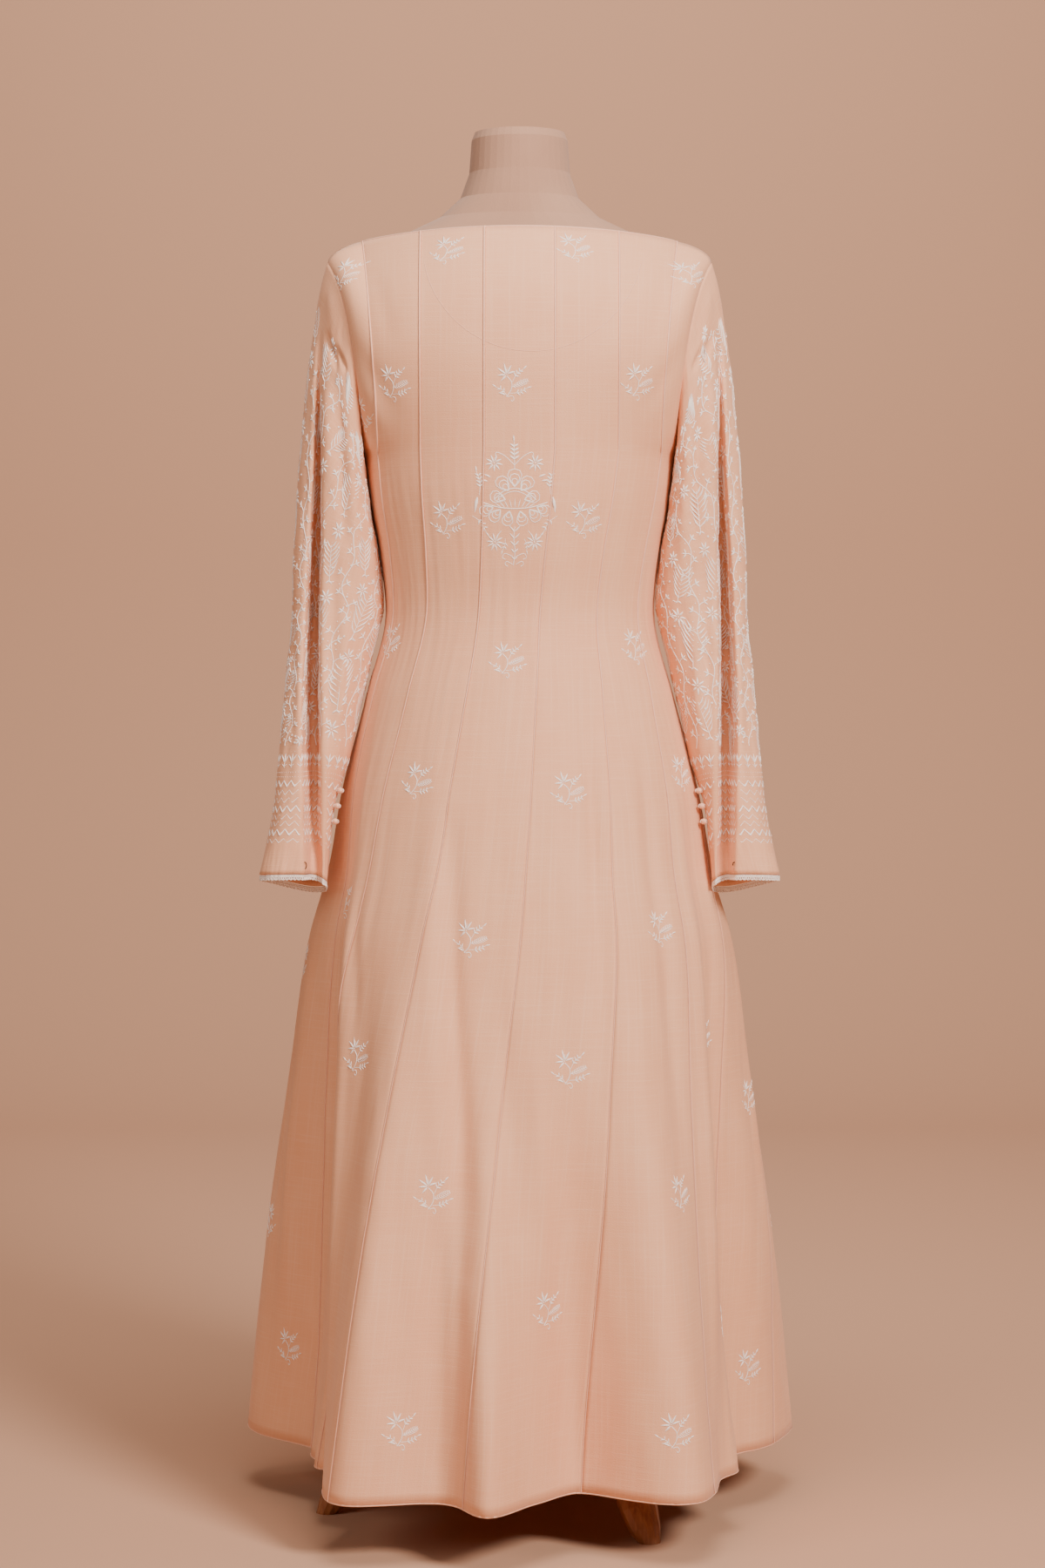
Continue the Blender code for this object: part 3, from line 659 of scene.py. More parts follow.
# Pulls in the sleeve: from x, z to x, z, width, how far out, behind (-1) or in front (1).
sleeveCreases = (
    (0.200, 1.226, 0.186, 1.184, 0.0024, -0.0065, -1),
    (0.191, 1.212, 0.176, 1.182, 0.0020, -0.0050, -1),
    (0.197, 1.200, 0.196, 1.060, 0.0055, 0.0035, -1),
    (0.186, 1.175, 0.180, 1.000, 0.0050, -0.0040, -1),
    (0.176, 1.150, 0.166, 0.960, 0.0050, 0.0030, -1),
    (0.224, 1.180, 0.232, 0.900, 0.0060, 0.0022, -1),
    (0.190, 1.000, 0.196, 0.800, 0.0060, -0.0035, -1),
    (0.176, 0.960, 0.190, 0.780, 0.0050, 0.0030, -1),
    (0.232, 0.940, 0.240, 0.740, 0.0050, -0.0018, -1),
    (0.200, 0.830, 0.206, 0.690, 0.0050, 0.0025, -1),
    (0.205, 1.220, 0.192, 1.150, 0.0040, -0.0050, 1),
    (0.196, 1.190, 0.184, 1.060, 0.0060, 0.0035, 1),
    (0.215, 1.150, 0.222, 0.930, 0.0070, -0.0035, 1),
    (0.188, 1.050, 0.190, 0.840, 0.0070, -0.0035, 1),
    (0.226, 0.930, 0.236, 0.740, 0.0060, -0.0030, 1),
    (0.204, 0.900, 0.212, 0.720, 0.0060, 0.0030, 1),
)
elbowZ = sleeveSections[0][0]
cuffZ = sleeveSections[-1][0]


def armholePoint(share):
    if share <= 0.5:
        return yokePoint(-90.0, 1.0 - 2.0 * share, -1)
    return yokePoint(-90.0, 2.0 * share - 1.0, 1)


def sleeveSection(share, z):
    outer, inner, midY, halfDepth = (onCurve(sleeveSections, k, z) for k in (1, 2, 3, 4))
    a = 2.0 * math.pi * share
    x = -0.5 * (outer + inner) - 0.5 * (outer - inner) * math.cos(a)
    y = midY - halfDepth * math.sin(a)
    low = smoothstep((elbowZ - z) / (elbowZ - cuffZ))
    drop = low * sleeve["cuffDrop"] * 0.25 * (1.0 - math.sin(a)) * (1.0 - 0.6 * math.cos(a))
    return Vector((x, y, z - drop))


def sleeveHeadPoint(share, u):
    start = armholePoint(share) - Vector((sleeve["seamGap"], 0.0, 0.0))
    end = sleeveSection(share, elbowZ)
    over = 0.5 + 0.5 * math.cos(2.0 * math.pi * share)
    pulls = {key: under + more * over for key, (under, more) in headLines.items()}
    leave = Vector((pulls["leaveAside"], 0.0, pulls["leaveDown"]))
    arrive = Vector((pulls["arriveAside"], 0.0, pulls["arriveDown"]))
    return (
        (2 * u**3 - 3 * u**2 + 1) * start
        + (u**3 - 2 * u**2 + u) * leave
        + (3 * u**2 - 2 * u**3) * end
        + (u**3 - u**2) * arrive
    )


def foldedIn(spot, share):
    # the long fold behind, pressed into a spot of the plain sleeve
    behind = math.sin(2.0 * math.pi * share)
    if behind <= 0.0 or spot.z > sleeveTrough[0][0]:
        return spot
    x, depth, halfWidth = (onCurve(sleeveTrough, k, spot.z) for k in (1, 2, 3))
    return spot + Vector((0.0, depth * math.exp(-(((spot.x + x) / halfWidth) ** 4)) * behind**0.5, 0.0))


def evenly(points, count):
    # that many points at even distances round a closed line
    closed = points + points[:1]
    lengths = [(b - a).length for a, b in zip(closed, closed[1:])]
    step = sum(lengths) / count
    made, i, passed = [], 0, 0.0
    for k in range(count):
        while passed + lengths[i] < k * step:
            passed += lengths[i]
            i += 1
        made.append(closed[i].lerp(closed[i + 1], (k * step - passed) / lengths[i]))
    return made


def buildSleeveRings():
    shares = [j / sleeve["outlineSteps"] for j in range(sleeve["outlineSteps"])]
    rings = []
    for i in range(sleeve["headRows"]):
        line = [foldedIn(sleeveHeadPoint(s, i / sleeve["headRows"]), s) for s in shares]
        rings.append(evenly(line, sleeve["columns"]))
    for i in range(sleeve["lowerRows"] + 1):
        z = elbowZ + (cuffZ - elbowZ) * i / sleeve["lowerRows"]
        rings.append(evenly([foldedIn(sleeveSection(s, z), s) for s in shares], sleeve["columns"]))
    return rings


def ringNormals(rings):
    normals = []
    for i, ring in enumerate(rings):
        above, below = rings[max(0, i - 1)], rings[min(len(rings) - 1, i + 1)]
        line = []
        for j in range(len(ring)):
            around = ring[(j + 1) % len(ring)] - ring[j - 1]
            line.append((below[j] - above[j]).cross(around).normalized())
        normals.append(line)
    return normals


def sleeveUneven(share, depth):
    # share goes round the sleeve and depth down it; more puckers lie just over the cuff's edge
    turn = 2 * math.pi * share
    way = Vector((math.cos(turn), math.sin(turn), 0.0))

    def at(fine, down):
        return noise.noise(way * fine + Vector((0.0, 0.0, depth * down)))

    pucker = sleeve["pucker"] * smoothstep((depth - 0.93) / 0.05) * at(26.0, 9.0)
    return sleeve["swell"] * at(2.2, 14.0) + sleeve["ripple"] * at(9.0, 30.0) + pucker


leftRings = buildSleeveRings()
for i, (ring, line) in enumerate(zip(leftRings, ringNormals(leftRings))):
    depth = i / len(leftRings)
    for j in range(len(ring)):
        where = -1 if line[j].y < 0 else 1
        out = sleeveUneven(j / len(ring), depth) + pull(sleeveCreases, -ring[j].x, ring[j].z, where)
        ring[j] += line[j] * out * smoothstep(depth / 0.06)
print("sleeve rings made")


def onSide(ring, side):
    # a ring of the left sleeve as it stands on that side of the form
    flip = -1.0 if side == "right" else 1.0
    return [Vector((p.x * flip, p.y, p.z)) + middle for p in ring]


def addSleeve(side):
    rings = [onSide(ring + ring[:1], side) for ring in leftRings]
    bm, area, flat = clothFromGrid(rings, aroundClosed=True)
    if side == "left":
        bmesh.ops.reverse_faces(bm, faces=bm.faces)
    piece = finishPiece(side + "_sleeve", bm, gownCloth)
    mesh = piece.data
    tree = BVHTree.FromPolygons([v.co for v in mesh.vertices], [f.vertices[:] for f in mesh.polygons])
    addWall(piece, sleeve["wall"])
    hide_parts("sleeve_" + side)
    return tree

sleeveTrees = {side: addSleeve(side) for side in ("left", "right")}
print("sleeves made")

piping = {
    "radius": 0.0011,
    "steps": 190,  # along a seam
    "armholeSteps": 96,
    "neckSteps": 60,
    "hemSteps": 20,  # along one panel
    "lift": 0.0008,  # over the middle of the cloth
    "thinFrom": 1.02,  # metres over the floor where the skirt starts to pull the seams open
    "thinOver": 0.3,
    "belowWaist": 0.45,  # shares of the radius
    "armhole": 1.15,
    "neck": 1.1,
    "hem": 0.9,
}
sideSeams = (6, 13)  # they stop at the underarm


def seamPath(number):
    # along the seam after a panel, from hem to top
    places = []
    for i in range(piping["steps"] + 1):
        row = 2.0 * i / piping["steps"]
        atTop = row > 1.99
        spot = gownPoint(number, 1.0, row)
        beside = gownPoint(number, 0.99, row)
        above = gownPoint(number, 1.0, row - 0.004 if atTop else row + 0.004)
        normal = (spot - beside).cross(above - spot)
        if atTop:
            normal.negate()
        places.append(spot + normal.normalized() * piping["lift"])
    return places


def pipeWidth(spot):
    # the cord in the seam shows less where the skirt pulls the seam open
    thin = smoothstep((piping["thinFrom"] - spot.z) / piping["thinOver"])
    return 1.0 - (1.0 - piping["belowWaist"]) * thin


def addPiping():
    pipes = []
    for number in range(cut["panels"]):
        seam = seamPath(number)
        if number in sideSeams:
            seam = seam[: piping["steps"] // 2 + 1]
        pipes.append((seam, [pipeWidth(spot) for spot in seam]))
    for side in (-1, 1):
        line = []
        for k in range(piping["armholeSteps"] + 1):
            spot = armholePoint(k / piping["armholeSteps"])
            line.append(Vector((side * (-spot.x - 0.0004), spot.y * 1.006, spot.z)) + middle)
        pipes.append(evenStroke(line, piping["armhole"]))
    for start in (1.0, 8.0):  # the neckline, behind and in front
        line = []
        for k in range(piping["neckSteps"] + 1):
            around = start + 5.0 * k / piping["neckSteps"]
            line.append(gownPoint(int(around), around - int(around), 2.0))
        pipes.append(evenStroke(line, piping["neck"]))
    hem = []
    steps = piping["hemSteps"]
    for k in range(steps * cut["panels"] + 1):
        hem.append(gownPoint(int(k / steps) % cut["panels"], (k % steps) / steps, 0.0))
    pipes.append(evenStroke(hem, piping["hem"]))
    cords = strokesToMesh("seam_piping", pipes, piping["radius"], threadPeach)


addPiping()
print("seams piped")


# A motif is a list of threads on flat cloth, in millimetres: places, as right + up j, and half widths.
def turnBy(degrees):
    return cmath.exp(-1j * math.radians(degrees))


def satin(foot, turn, length, width, bend=0.0):
    # one leaf or petal of satin stitch; its turn is clockwise from straight up
    shares = (0.0, 0.3, 0.65, 1.0)
    spots = [foot + complex(bend * length * s * s, length * s) * turnBy(turn) for s in shares]
    return [(spots, [0.35 * width, width, 0.8 * width, 0.12])]


def stem(spots, width=0.30, parts=3):
    # a smooth line of stem stitch through the spots
    line = []
    ends = [2 * spots[0] - spots[1]] + list(spots) + [2 * spots[-1] - spots[-2]]
    for a, b, c, d in zip(ends, ends[1:], ends[2:], ends[3:]):
        for i in range(parts):
            t = i / parts
            curved = (2 * a - 5 * b + 4 * c - d) * t**2 + (3 * b - a - 3 * c + d) * t**3
            line.append(0.5 * (2 * b + (c - a) * t + curved))
    line.append(spots[-1])
    return [evenStroke(line, width)]


def knot(centre, width=0.55):
    return [([centre - 0.5 * width, centre, centre + 0.5 * width], [0.4 * width, width, 0.4 * width])]


def daisy(centre, size, petals, turn=0.0):
    threads = knot(centre, 0.13 * size)
    for k in range(petals):
        way = turn + 360.0 * k / petals
        threads += satin(centre + 0.2j * size * turnBy(way), way, 0.8 * size, 0.95 * size / petals)
    return threads


def heading(line):
    return 90.0 - math.degrees(cmath.phase(line))


def sprig(foot, tip, pairs, size, bend=0.12, width=0.26):
    # a bent twig with leaves in pairs and one at its tip
    line = tip - foot
    bow = foot + line * (0.5 + 1j * bend)
    threads = stem([foot, bow, tip], width)
    way = heading(line)
    for k in range(pairs):
        share = 0.35 + 0.6 * k / max(1, pairs)
        spot = foot + line * (share + 4j * bend * share * (1 - share))
        for side in (-1, 1):
            threads += satin(spot, way + side * 46, size * (1.05 - 0.35 * share), 0.15 * size, 0.1 * side)
    return threads + satin(tip, way, size, 0.15 * size)


def fern(foot, turn, length, width, pairs=9):
    # a full leaf in fishbone stitch: slanting barbs lie close on both sides of its rib
    way = turnBy(turn)
    threads = [([foot, foot + 1j * length * way], [0.4, 0.25])]
    for k in range(pairs):
        share = 0.06 + 0.86 * k / (pairs - 1)
        reach = 0.5 * width * math.sin(math.pi * (0.12 + 0.82 * share)) ** 0.7
        start = foot + 1j * length * share * way
        for side in (-1, 1):
            spots = [start, start + complex(side * 0.6 * reach, 0.45 * reach) * way]
            spots.append(start + complex(side * reach, 1.05 * reach) * way)
            threads.append((spots, [0.3, 0.17 * length / pairs, 0.12]))
    return threads


def loopedPetal(foot, turn, length, width, rounds=3):
    # rounds of chain stitch, one inside the other
    threads = []
    for k in range(rounds):
        share = 1.0 - 0.3 * k
        spots = []
        for i in range(11):
            u = i / 10
            aside = 0.65 * width * share * math.sin(2 * math.pi * u) * math.sin(math.pi * u)
            rise = 0.5 * length * (0.06 * k + share * (1 - math.cos(2 * math.pi * u)))
            spots.append(foot + complex(aside, rise) * turnBy(turn))
        threads.append(evenStroke(spots, 0.42))
    return threads


def moved(threads, turn, flip=1):
    # a motif turned clockwise, and its left and right changed over where flip is -1
    def at(spot):
        return complex(spot.real * flip, spot.imag) * turnBy(turn)

    return [([at(spot) for spot in spots], widths) for spots, widths in threads]


def buta():
    # the small spray that is strewn over the gown
    flower = -4 + 8.5j
    threads = knot(flower, 0.8)
    for way, length in ((-98, 8.0), (-57, 10.0), (-16, 10.5), (24, 9.0), (66, 8.0), (-142, 7.5)):
        threads += satin(flower + 1.4j * turnBy(way), way, length, 0.92, 0.06)
    threads += satin(flower + 2j, 44, 5.0, 0.3) + satin(flower + 2j, 4, 5.5, 0.3)
    threads += stem([-4 + 7j, 1 + 1j, 0.5 - 7j, -4 - 14j], 0.42)
    threads += sprig(2 + 1j, 13 + 14j, 3, 4.6)
    threads += sprig(0 - 10.5j, 17 - 5j, 3, 4.4, -0.1)
    threads += sprig(-3.5 - 13j, -15 - 4j, 2, 4.4, -0.12)
    threads += fern(2 - 4j, 66, 17, 6.4, 8)
    threads += satin(-5.5 - 12j, -60, 7.0, 0.9, -0.2)
    threads += stem([-2.5 - 14j, 1.5 - 13j, 3.4 - 16j, 1.8 - 18.5j, 0.4 - 16.8j], 0.34)
    return threads


def smallSpray():
    # a shorter one for the yoke's front and between the others
    threads = daisy(0 + 6j, 6.2, 8, 10)
    threads += stem([0 + 0j, 0.8 - 5j, -0.5 - 10j], 0.4)
    threads += sprig(0.6 - 3j, 9 + 1j, 2, 3.6)
    threads += sprig(0.4 - 5j, -9 - 1j, 2, 3.6, -0.12)
    threads += satin(-0.4 - 9j, 60, 6, 0.9, 0.15) + satin(-0.4 - 9j, -60, 6, 0.9, -0.15)
    return threads


def medallion():
    # the large figure in the middle of the back: looped petals over and under an arch, sprays around
    threads = []
    for way, length, width in ((-72, 16, 12), (-38, 17, 13), (0, 18, 14), (38, 17, 13), (72, 16, 12)):
        foot = -1j + 10j * turnBy(way) + 9j * turnBy(way).real
        threads += loopedPetal(foot, way, length, width)
    threads += stem([-21 + 5j, -12 + 13j, 0 + 16.5j, 12 + 13j, 21 + 5j], 0.5)
    threads += stem([-18 + 4j, -10 + 10.5j, 0 + 13.5j, 10 + 10.5j, 18 + 4j], 0.35)
    threads += stem([-33 + 2.5j, -17 - 2.5j, 0 - 4j, 17 - 2.5j, 33 + 2.5j], 0.5)
    for k in range(9):
        foot = complex(-14 + 3.5 * k, -2.6)
        threads += satin(foot, -56 + 14 * k, 9 - 0.35 * abs(k - 4), 0.5)
    for side in (-1, 1):
        for x, y, way in ((27, -3, 112), (18, -6, 138), (6.5, -8, 166)):
            threads += loopedPetal(complex(side * x, y) * 0.82, side * way, 15, 11.5)
    threads += stem([0 - 22j, -1 - 34j, 0.5 - 47j, -1 - 61j], 0.42)
    for k in range(5):
        foot = complex(0, -27 - 7 * k)
        for side in (-1, 1):
            threads += satin(foot, 180 - side * 130, 8.5 - k, 0.75, -0.12 * side)
    threads += sprig(0 + 36j, 0 + 64j, 4, 6.5, 0.0, 0.35)
    for side in (-1, 1):
        threads += stem([0 + 40j, side * 9 + 49j, side * 17 + 53j, side * 18.5 + 49j], 0.36)
        threads += daisy(side * 20 + 42j, 8.6, 9, 20 * side)
        threads += daisy(side * 21 - 37.5j, 9.4, 10, 12 * side)
        threads += stem([side * 14 - 26j, side * 18 - 31j, side * 21 - 37j], 0.34)
        threads += sprig(side * 36 + 10j, side * 38 + 34j, 4, 5.5, 0.1 * side)
        threads += satin(side * 38 + 8j, 180 - side * 18, 16, 1.7, 0.1 * side)
        threads += sprig(side * 44 - 11j, side * 30 - 28j, 3, 5.0, -0.12 * side)
        threads += stem([side * 2 - 52j, side * 10 - 49j, side * 13 - 53j, side * 9.5 - 55j], 0.34)
        threads += stem([side * 2 - 60j, side * 8 - 57j, side * 10 - 60j, side * 7 - 62j], 0.34)
        threads += satin(side * 24 + 28j, side * 65, 7, 0.8) + satin(side * 27 + 24j, side * 80, 7, 0.8)
        threads += sprig(side * 10 - 34j, side * 13 - 46j, 2, 4.2)
    return threads


def gownSpot(around, z):
    # the gown's surface by the cut's angle, counted in panels, and the height
    around %= cut["panels"]
    number = int(around)
    if z <= cut["underarmZ"]:
        return gownPoint(number, around - number, (z - cut["hemZ"]) / (cut["underarmZ"] - cut["hemZ"]))
    low, high = 1.0, 2.0
    for _ in range(11):
        row = 0.5 * (low + high)
        if gownPoint(number, around - number, row).z < z:
            low = row
        else:
            high = row
    return gownPoint(number, around - number, low)


def layOnGown(threads, around, z):
    # a motif's flat places, laid on the cloth round a spot of the gown
    aside = (gownSpot(around + 0.02, z) - gownSpot(around - 0.02, z)) / 0.04
    upward = (gownSpot(around, z + 0.003) - gownSpot(around, z - 0.003)) / 0.006
    level = aside.normalized()
    steep = aside.cross(upward).normalized().cross(level)
    laid = []
    for spots, widths in threads:
        line = []
        for spot in spots:
            up = 0.001 * spot.imag / upward.dot(steep)
            right = (0.001 * spot.real - up * upward.dot(level)) / aside.length
            line.append(gownSpot(around + right, z + up))
        laid.append((line, widths))
    return laid


class SleeveCloth:
    # the sleeve unrolled: columns go round it and rows go down it
    def __init__(self, rings):
        self.rings = rings
        self.columns = len(rings[0])
        self.rows = len(rings) - 1

    def spot(self, column, row):
        row = min(self.rows - 0.001, max(0.0, row))
        i, j = int(row), int(math.floor(column))
        down, along = row - i, column - j
        here, below = self.rings[i], self.rings[i + 1]
        j, k = j % self.columns, (j + 1) % self.columns
        return here[j].lerp(here[k], along).lerp(below[j].lerp(below[k], along), down)


def addThreads(name, threads, tree, material):
    # threads laid on the cloth and pressed flat; the floss swells to 1.25 times its drawn width
    piece = strokesToMesh(name, threads, 0.00125, material)
    pressOn(piece, tree, 0.6, cut["clothWall"] / 2)


# Where single motifs lie on the gown: angle counted in panels, height.
motifSpots = {
    "medallion": (3.475, 1.043),
    "smallSprays": ((8.6, 1.225), (10.5, 1.225), (12.4, 1.225)),
}
# The sprays behind: angle counted in panels, height, turn.
spraysBehind = (
    (0.425, 1.284, 8), (2.425, 1.303, 0), (4.275, 1.305, 0), (6.40, 1.283, -6), (1.45, 1.167, 4),
    (3.375, 1.165, 0), (5.35, 1.168, 0), (2.40, 1.028, 0), (4.55, 1.028, 0), (1.05, 0.906, -6),
    (3.525, 0.886, 0), (5.80, 0.900, 0), (2.50, 0.764, 6), (4.45, 0.755, 0), (6.45, 0.770, 0),
    (1.45, 0.640, 0), (3.475, 0.608, 4), (5.60, 0.615, 0), (2.40, 0.487, 0), (2.00, 0.411, 0),
    (4.60, 0.480, 0), (6.55, 0.500, 0), (3.475, 0.359, 0), (5.70, 0.355, 0), (0.675, 0.162, 0),
    (4.55, 0.245, 0), (3.45, 0.132, 0), (6.75, 0.210, 0), (5.55, 0.130, 0), (2.05, 0.215, 0),
)
frontLevels = (0.150, 0.290, 0.430, 0.570, 0.720, 0.860, 1.000, 1.140)


def addEmbroidery():
    spray = buta()
    laid = []
    for around, z, turn in spraysBehind:
        laid += layOnGown(moved(spray, turn), around, z)
    # in front and at the sides they lie in level rows, each second row shifted and flipped
    for level, z in enumerate(frontLevels):
        odd = level % 2
        for k in range(4 if odd else 3):
            around = 7.6 + 1.9 * k + (0.95 if odd else 0.0)
            laid += layOnGown(moved(spray, 0, -1 if odd else 1), around, z)
    for around, z in motifSpots["smallSprays"]:
        laid += layOnGown(smallSpray(), around, z)
    addThreads("strewn_sprays", laid, gownTree, threadWhite)
    edge = []
    steps = 48
    for k in range(steps + 1):
        turn = math.radians(facing["from"] + (facing["to"] - facing["from"]) * k / steps)
        x = facing["x"] + facing["radius"] * math.cos(turn)
        z = facing["z"] + facing["radius"] * math.sin(turn)
        edge.append(gownSpot(3.5 + math.degrees(math.asin(x / bodySections[0][1])) / panelStep, z))
    addThreads("facing_edge", [evenStroke(edge, 0.3)], gownTree, threadPeach)
    figure = layOnGown(medallion(), *motifSpots["medallion"])
    addThreads("back_medallion", figure, gownTree, threadWhite)


addEmbroidery()
print("gown embroidered")

jaal = {
    "topRow": 12,  # rows down the sleeve's head where the work starts
    "columns": 18,  # leaves and daisies in one column, a vine in the next
    "aboveCuff": 129.0,  # mm, where the work ends over the bands
    "sway": 4.5,  # mm that a vine wanders to each side
    "wave": 52.0,  # mm from crest to crest
    "daisy": 8.0,
    "leafLength": 32.0,
    "leafWidth": 26.0,
    "sequins": 190,
    "sequinRadius": 0.0012,
}
# Bands above the cuff's edge: kind, millimetres above it, height, pitch along, thread.
cuffBands = (
    ("tulips", 109.0, 15.0, 11.2, 0.9),
    ("dots", 104.0, 1.0, 3.4, 0.5),
    ("dots", 99.5, 1.0, 3.4, 0.5),
    ("zigzag", 89.5, 6.0, 10.0, 0.85),
    ("zigzag", 81.0, 5.0, 10.0, 0.35),
    ("zigzag", 73.0, 5.0, 10.0, 0.35),
    ("zigzag", 63.5, 6.0, 10.0, 0.85),
    ("zigzag", 56.0, 5.0, 10.0, 0.35),
    ("zigzag", 49.0, 5.0, 10.0, 0.35),
    ("zigzag", 39.5, 6.0, 10.0, 0.85),
    ("zigzag", 32.0, 4.0, 10.0, 0.35),
)


def bandThreads(kind, height, pitch, width, around):
    # one band laid flat, as long as the cuff is round there
    count = max(4, round(around / pitch))
    step = around / count
    threads = []
    for k in range(count):
        x = k * step
        if kind == "zigzag":
            spots = [x + 0j, complex(x + 0.5 * step, height), complex(x + step, 0)]
            threads.append((spots, [width, width * 0.8, width]))
        elif kind == "dots":
            threads += knot(x + 0j, width)
        else:
            for way in (-34, 0, 34):
                threads += satin(complex(x, 0.36 * height), way, 0.62 * height, 0.85)
            threads += [([x + 0j, complex(x, 0.5 * height)], [0.35, 0.35])]
            threads += satin(complex(x, 0.08 * height), 58, 0.3 * height, 0.5)
            threads += satin(complex(x, 0.08 * height), -58, 0.3 * height, 0.5)
    return threads


def vineThreads(length, dice, lean):
    # a thin wandering stem that hangs down from 0, with three-way twigs on both sides
    def sway(down):
        return jaal["sway"] * math.sin(2 * math.pi * down / jaal["wave"] + lean)

    steps = int(length / 4)
    threads = stem([complex(sway(4 * k), -4 * k) for k in range(steps + 1)], 0.46, 1)
    down = 4.0
    side = 1
    while down < length - 4:
        foot = complex(sway(down), -down)
        way = side * dice.uniform(48, 66)
        tip = foot + 6.5j * turnBy(way)
        threads += stem([foot, foot + 3.4j * turnBy(way - 12 * side), tip], 0.42, 2)
        for aside in (-58, 0, 58):
            threads += satin(tip, way + aside, 5.0, 0.78)
        threads += knot(foot + 4.5j * turnBy(-way), 0.8)
        side = -side
        down += dice.uniform(8.0, 10.5)
    return threads


def motifThreads(length, dice, first):
    # daisies and fishbone leaves by turns, one below the other
    threads = []
    down = dice.uniform(0.0, 9.0)
    kind = first
    while down < length - 12:
        aside = dice.uniform(-2.0, 2.0)
        if kind:
            foot = complex(aside, -down - 26)
            lean = dice.choice((-1, 1)) * dice.uniform(8, 24)
            big = dice.uniform(0.86, 1.08)
            threads += fern(foot, lean, jaal["leafLength"] * big, jaal["leafWidth"] * big, 7)
            threads += stem([foot, foot - 3.5j * turnBy(lean), foot - 6j * turnBy(lean - 60)], 0.45, 2)
            for way in (-128, 128):
                threads += satin(foot - 2j, way, 4.6, 0.7)
            down += 37.0
        else:
            size = jaal["daisy"] * dice.uniform(0.9, 1.08)
            threads += daisy(complex(aside, -down - 7), size, 8, dice.uniform(0, 44))
            for k in range(3):
                threads += knot(complex(dice.uniform(-9, 9), -down - 16 - 2 * k), 0.5)
            down += 22.5
        kind = not kind
    return threads


def addSleeveWork(side):
    dice = random.Random(7 if side == "left" else 11)
    cloth = SleeveCloth([onSide(ring, side) for ring in leftRings])
    last = cloth.rows
    rowHeight = 1000 * (elbowZ - cuffZ) / sleeve["lowerRows"]
    laid = []
    for kind, above, height, pitch, width in cuffBands:
        row = last - above / rowHeight
        around = 1000 * lineLength([cloth.spot(j, row) for j in range(cloth.columns + 1)])
        for spots, widths in bandThreads(kind, height, pitch, width, around):
            line = [cloth.spot(s.real * cloth.columns / around, row - s.imag / rowHeight) for s in spots]
            laid.append((line, widths))
    bottom = last - jaal["aboveCuff"] / rowHeight
    for k in range(jaal["columns"]):
        start = jaal["topRow"] + dice.uniform(-7, 9)
        column = cloth.columns * (k + 0.5) / jaal["columns"]
        path = [cloth.spot(column, start + (bottom - start) * i / 40) for i in range(41)]
        length = 1000 * lineLength(path)
        if k % 2:
            figure = vineThreads(length, dice, dice.uniform(0, 6.28))
        else:
            figure = motifThreads(length, dice, k % 4 == 0)
        for spots, widths in figure:
            line = []
            for s in spots:
                row = start - (bottom - start) * s.imag / length
                ring = cloth.rings[int(min(last, max(0, row)))]
                perColumn = 1000 * (ring[1] - ring[0]).length
                line.append(cloth.spot(column + s.real / perColumn, row))
            laid.append((line, widths))
    tree = sleeveTrees[side]
    addThreads(side + "_sleeve_embroidery", laid, tree, threadWhite)
    sequins = bmesh.new()
    for _ in range(jaal["sequins"]):
        spot = cloth.spot(dice.uniform(0, cloth.columns), dice.uniform(jaal["topRow"], bottom))
        place, normal, _, _ = tree.find_nearest(spot)
        turned = normal.to_track_quat("Z", "Y").to_matrix().to_4x4()
        bmesh.ops.create_cone(
            sequins,
            cap_ends=True,
            segments=8,
            radius1=jaal["sequinRadius"],
            radius2=jaal["sequinRadius"] / 1.2,
            depth=0.0005,
            matrix=Matrix.Translation(place + normal * (cut["clothWall"] / 2 + 0.0003)) @ turned,
        )
    discs = finishPiece(side + "_sleeve_sequins", sequins, sequinFilm, smooth=False)


for side in ("left", "right"):
    addSleeveWork(side)
print("sleeves embroidered")

# The cuff's crochet edge, in millimetres: half widths of its threads, and its rows below the cuff.
laceCut = {
    "cord": 0.62,
    "lattice": 0.42,
    "arch": 0.55,
    "picot": 0.45,
    "scallop": 4.1,
    "top": 1.3,
    "second": 3.0,
    "bottom": 6.2,
    "cordSteps": 150,
}


